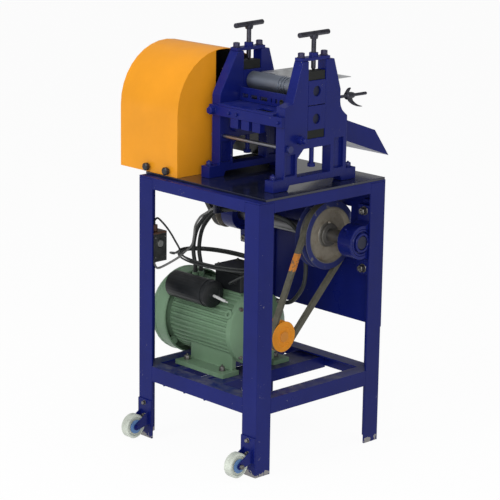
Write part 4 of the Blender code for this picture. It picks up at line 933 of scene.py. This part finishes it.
def makeWingScrew(side, s):
    x, (y, z) = frameX[side], s["start"]
    stud, hub, (low, high) = s["stud"], s["hubRadius"], s["hub"]
    profile = [(stud, 0)]
    for turn in range(2, low - 4, s["pitch"]):
        profile += [(stud, turn), (stud - 0.5, turn + 0.9), (stud - 0.5, turn + 1.6), (stud, turn + 2.5)]
    profile += [(stud, low - 2), (hub - 1.5, low), (hub, low + 2), (hub - 1, high - 8), (hub - 3, high - 1),
                (stud + 0.5, high), (stud, high + 1), (stud, s["length"] - 2), (stud - 1.2, s["length"])]
    middle = y + (low + high) / 2
    parts = [turned(profile, 24, (x, y, z), toBack),
             makeWing((x, middle, z - s["off"]), (s["thick"], s["width"], s["root"]), (0, 0, -1), s["low"]),
             makeWing((x - s["off"], middle, z), (s["root"], s["width"], s["thick"]), (-1, 0, 0), s["high"])]
    whole = joined(parts)
    finished(whole, "wingScrew" + side.capitalize(), finishes["oiled"], side + "_wing_screw")
    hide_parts("wing_screw_" + side)


for side in frameX:
    makeWingScrew(side, wingLook)
print("wing screws made")


# Fan cowl: pressed ribs round its open end and the screw that holds it on the seen side
cowl = {"radius": 113, "beads": ((-232.6, 1.3), (-271.6, 1.0)), "sunk": 0.6, "wide": 5, "flat": (1.6, 3.4),
        "skin": 1.4, "screwX": -240, "screwAngle": 45, "screwSunk": 0.3}


def makeCowlScrew(s):
    a = radians(s["screwAngle"])
    boltRow("cowlScrews", "bolt", 7, [onMotor(s["screwX"], s["screwAngle"], s["radius"] - s["screwSunk"])],
            (0, cos(a), sin(a)))


def makeCowlBead(s):
    foot = s["radius"] - s["sunk"]
    parts = []
    for x, rise in s["beads"]:
        top = s["radius"] + rise
        profile = [(foot, 0), (top, s["flat"][0]), (top, s["flat"][1]), (foot, s["wide"])]
        bead = turned(profile, 72, (x, *motorAxis), toRight)
        editFaces(bead, lambda normal: abs(normal.x) > 0.95)
        bpy.ops.mesh.inset(thickness=s["skin"] * mm)
        bpy.ops.mesh.delete(type="FACE")
        bpy.ops.mesh.select_mode(type="EDGE")
        bpy.ops.mesh.select_all(action="DESELECT")
        bpy.ops.mesh.select_non_manifold()
        bpy.ops.mesh.bridge_edge_loops()
        leaveEdit()
        parts.append(bead)
    finished(joined(parts), "cowlBeads", finishes["green"], "stand")


makeCowlScrew(cowl)
makeCowlBead(cowl)
print("cowl details made")

# Feed guide: a rubber grommet in the round inlet
grommetLook = {"spot": (102, -30.2, 902), "profile": [(6.2, 0), (6.2, 5.4), (7.3, 5.6), (7.3, 6.4), (6.8, 6.8),
                                                      (5.2, 6.8), (2.4, 4.2), (0.8, 4.0)]}
grommet = turned(grommetLook["profile"], 28, grommetLook["spot"], toFront)
finished(grommet, "inletGrommet", finishes["pad"], "stand")

# Casters: hub caps on the wheels
hubLook = {"reach": 12, "cap": [(18, -1), (18, 0.4), (17, 1.0), (7, 1.2), (6.4, 0.6), (5.5, 0.5)]}
for side, middle in casterX.items():
    caps = [turned(hubLook["cap"], 32, (middle + way * hubLook["reach"], *casterAxle), (way, 0, 0)) for way in (-1, 1)]
    finished(joined(caps), "wheelHubs" + side.capitalize(), finishes["hub"], side + "_caster")

# Switch box: face plate with a ring round the button, and its screws
switchLook = {"low": (-176.2, -210, 478), "high": (-173.9, -169.5, 540), "edge": 0.7,
              "ringSpot": (-174.2, -189.7, 518.36), "ring": [(13, 0), (13, 1.4), (12, 2.4), (10.6, 2.4), (9.6, 1)],
              "screws": [(-173.9, y, z) for y in (-206, -173.5) for z in (483, 535)]}
plate = block(switchLook["low"], switchLook["high"], switchLook["edge"])
ring = turned(switchLook["ring"], 28, switchLook["ringSpot"], toRight)
finished(joined([plate, ring]), "switchFace", finishes["switch"], "stand")
boltRow("switchScrews", "bolt", 4, switchLook["screws"], toRight, washer=False)
print("casters and switch made")

# Fasteners: finish, size across flats, places and the way that the heads point
fasteners = {
    "frameFootBolts": {"finish": "casting", "size": 13, "axis": toTop, "spin": 12, "stud": 3,
                       "places": [(x, y, 730) for x in frameX.values() for y in (-125, 138)]},
    "bridgeBolts": {"finish": "boltPainted", "size": 15, "axis": toTop, "spin": 20,
                    "places": [(x, y, 1020.1) for x in frameX.values() for y in (-36, 43)]},
    "crossbarBolt": {"finish": "casting", "size": 18, "axis": toFront, "spin": 8, "places": [(-62, -113.3, 870)]},
    "crossbarSmallBolts": {"finish": "casting", "size": 7, "axis": toFront, "spin": 8, "washer": False,
                           "places": [(x, -113.3, 869) for x in (-4, 24, 170)]},
    "lugBolt": {"finish": "casting", "size": 13, "axis": toRight, "spin": 10, "places": [(198, -53, 822)]},
    "motorFootBolts": {"finish": "bolt", "size": 13, "axis": toTop, "spin": 17, "stud": 5,
                       "places": [(x, y, 197.3) for x in (-159, -25) for y in (-107, 83)]},
    "pillowBolts": {"finish": "bolt", "size": 17, "axis": toFront, "spin": 11, "stud": 5,
                    "places": [(x, 181, z) for x in (189.5, -244.5) for z in (463, 613)]},
    "casterBolts": {"finish": "bolt", "size": 9, "axis": toFront, "spin": 9,
                    "places": [(x, -223.3, z) for x in casterX.values() for z in (60, 94)]},
    "casterAxleLeft": {"finish": "bolt", "size": 11, "axis": toLeft, "spin": 5, "washer": False,
                       "places": [(-213, *casterAxle)]},
    "casterAxleRight": {"finish": "bolt", "size": 11, "axis": toRight, "spin": 5, "washer": False,
                        "places": [(213, *casterAxle)]},
}
for name, facts in fasteners.items():
    boltRow(name, **facts)
print("fasteners made")


# Floor and light
stageLook = {"floor": (0.92, 0.92, 0.92), "size": 40.0, "white": 0.95, "world": 0.36}
lampLook = {"keyLamp": {"place": (-0.4, -2.9, 2.3), "aim": (0, 0, 0.55), "size": 1.8, "power": 44.0},
            "fillLamp": {"place": (3.0, 0.1, 1.3), "aim": (0, 0, 0.5), "size": 1.8, "power": 4.0},
            "frontLamp": {"place": (2.4, -2.3, 1.5), "aim": (0, 0, 0.6), "size": 1.6, "power": 44.0},
            "topLamp": {"place": (0.3, 0.2, 3.4), "aim": (0, 0, 0.5), "size": 2.0, "power": 30.0}}


def makeStage(s):
    # the floor is white to the camera and in reflections, and takes a little of the shadows
    bpy.ops.mesh.primitive_plane_add(size=s["size"], location=(0, 0, 0))
    floor = bpy.context.object
    floor.name = "floor"
    f = Finish("floorPaper", s["floor"], 0.6)
    seen = f.make("LightPath", {}, {}, "Is Camera Ray")
    mirrored = f.make("LightPath", {}, {}, "Is Glossy Ray")
    white = f.make("Emission", {}, {"Color": (1, 1, 1, 1), "Strength": 1.0})
    lit = Wire(f, f.shader.outputs[0])
    both = f.make("MixShader", {}, {0: clamped(seen + mirrored) * s["white"], 1: lit, 2: white})
    f.links.new(both.socket, f.nodes["Material Output"].inputs["Surface"])
    floor.data.materials.append(f.material)
    world = bpy.data.worlds.new("studio")
    scene.world = world
    world.use_nodes = True
    tree = world.node_tree
    light = tree.nodes["Background"]
    light.inputs["Color"].default_value = (1, 1, 1, 1)
    paths = tree.nodes.new("ShaderNodeLightPath")
    level = tree.nodes.new("ShaderNodeMix")
    level.inputs[2].default_value = s["world"]
    level.inputs[3].default_value = 1.0
    tree.links.new(paths.outputs["Is Camera Ray"], level.inputs[0])
    tree.links.new(level.outputs[0], light.inputs["Strength"])


def makeLamp(name, place, aim, size, power):
    data = bpy.data.lights.new(name, "AREA")
    data.size = size
    data.energy = power
    lamp = bpy.data.objects.new(name, data)
    lamp.location = place
    lamp.rotation_euler = (Vector(aim) - Vector(place)).to_track_quat("-Z", "Y").to_euler()
    scene.collection.objects.link(lamp)


makeStage(stageLook)
for name, facts in lampLook.items():
    makeLamp(name, **facts)
print("light set")
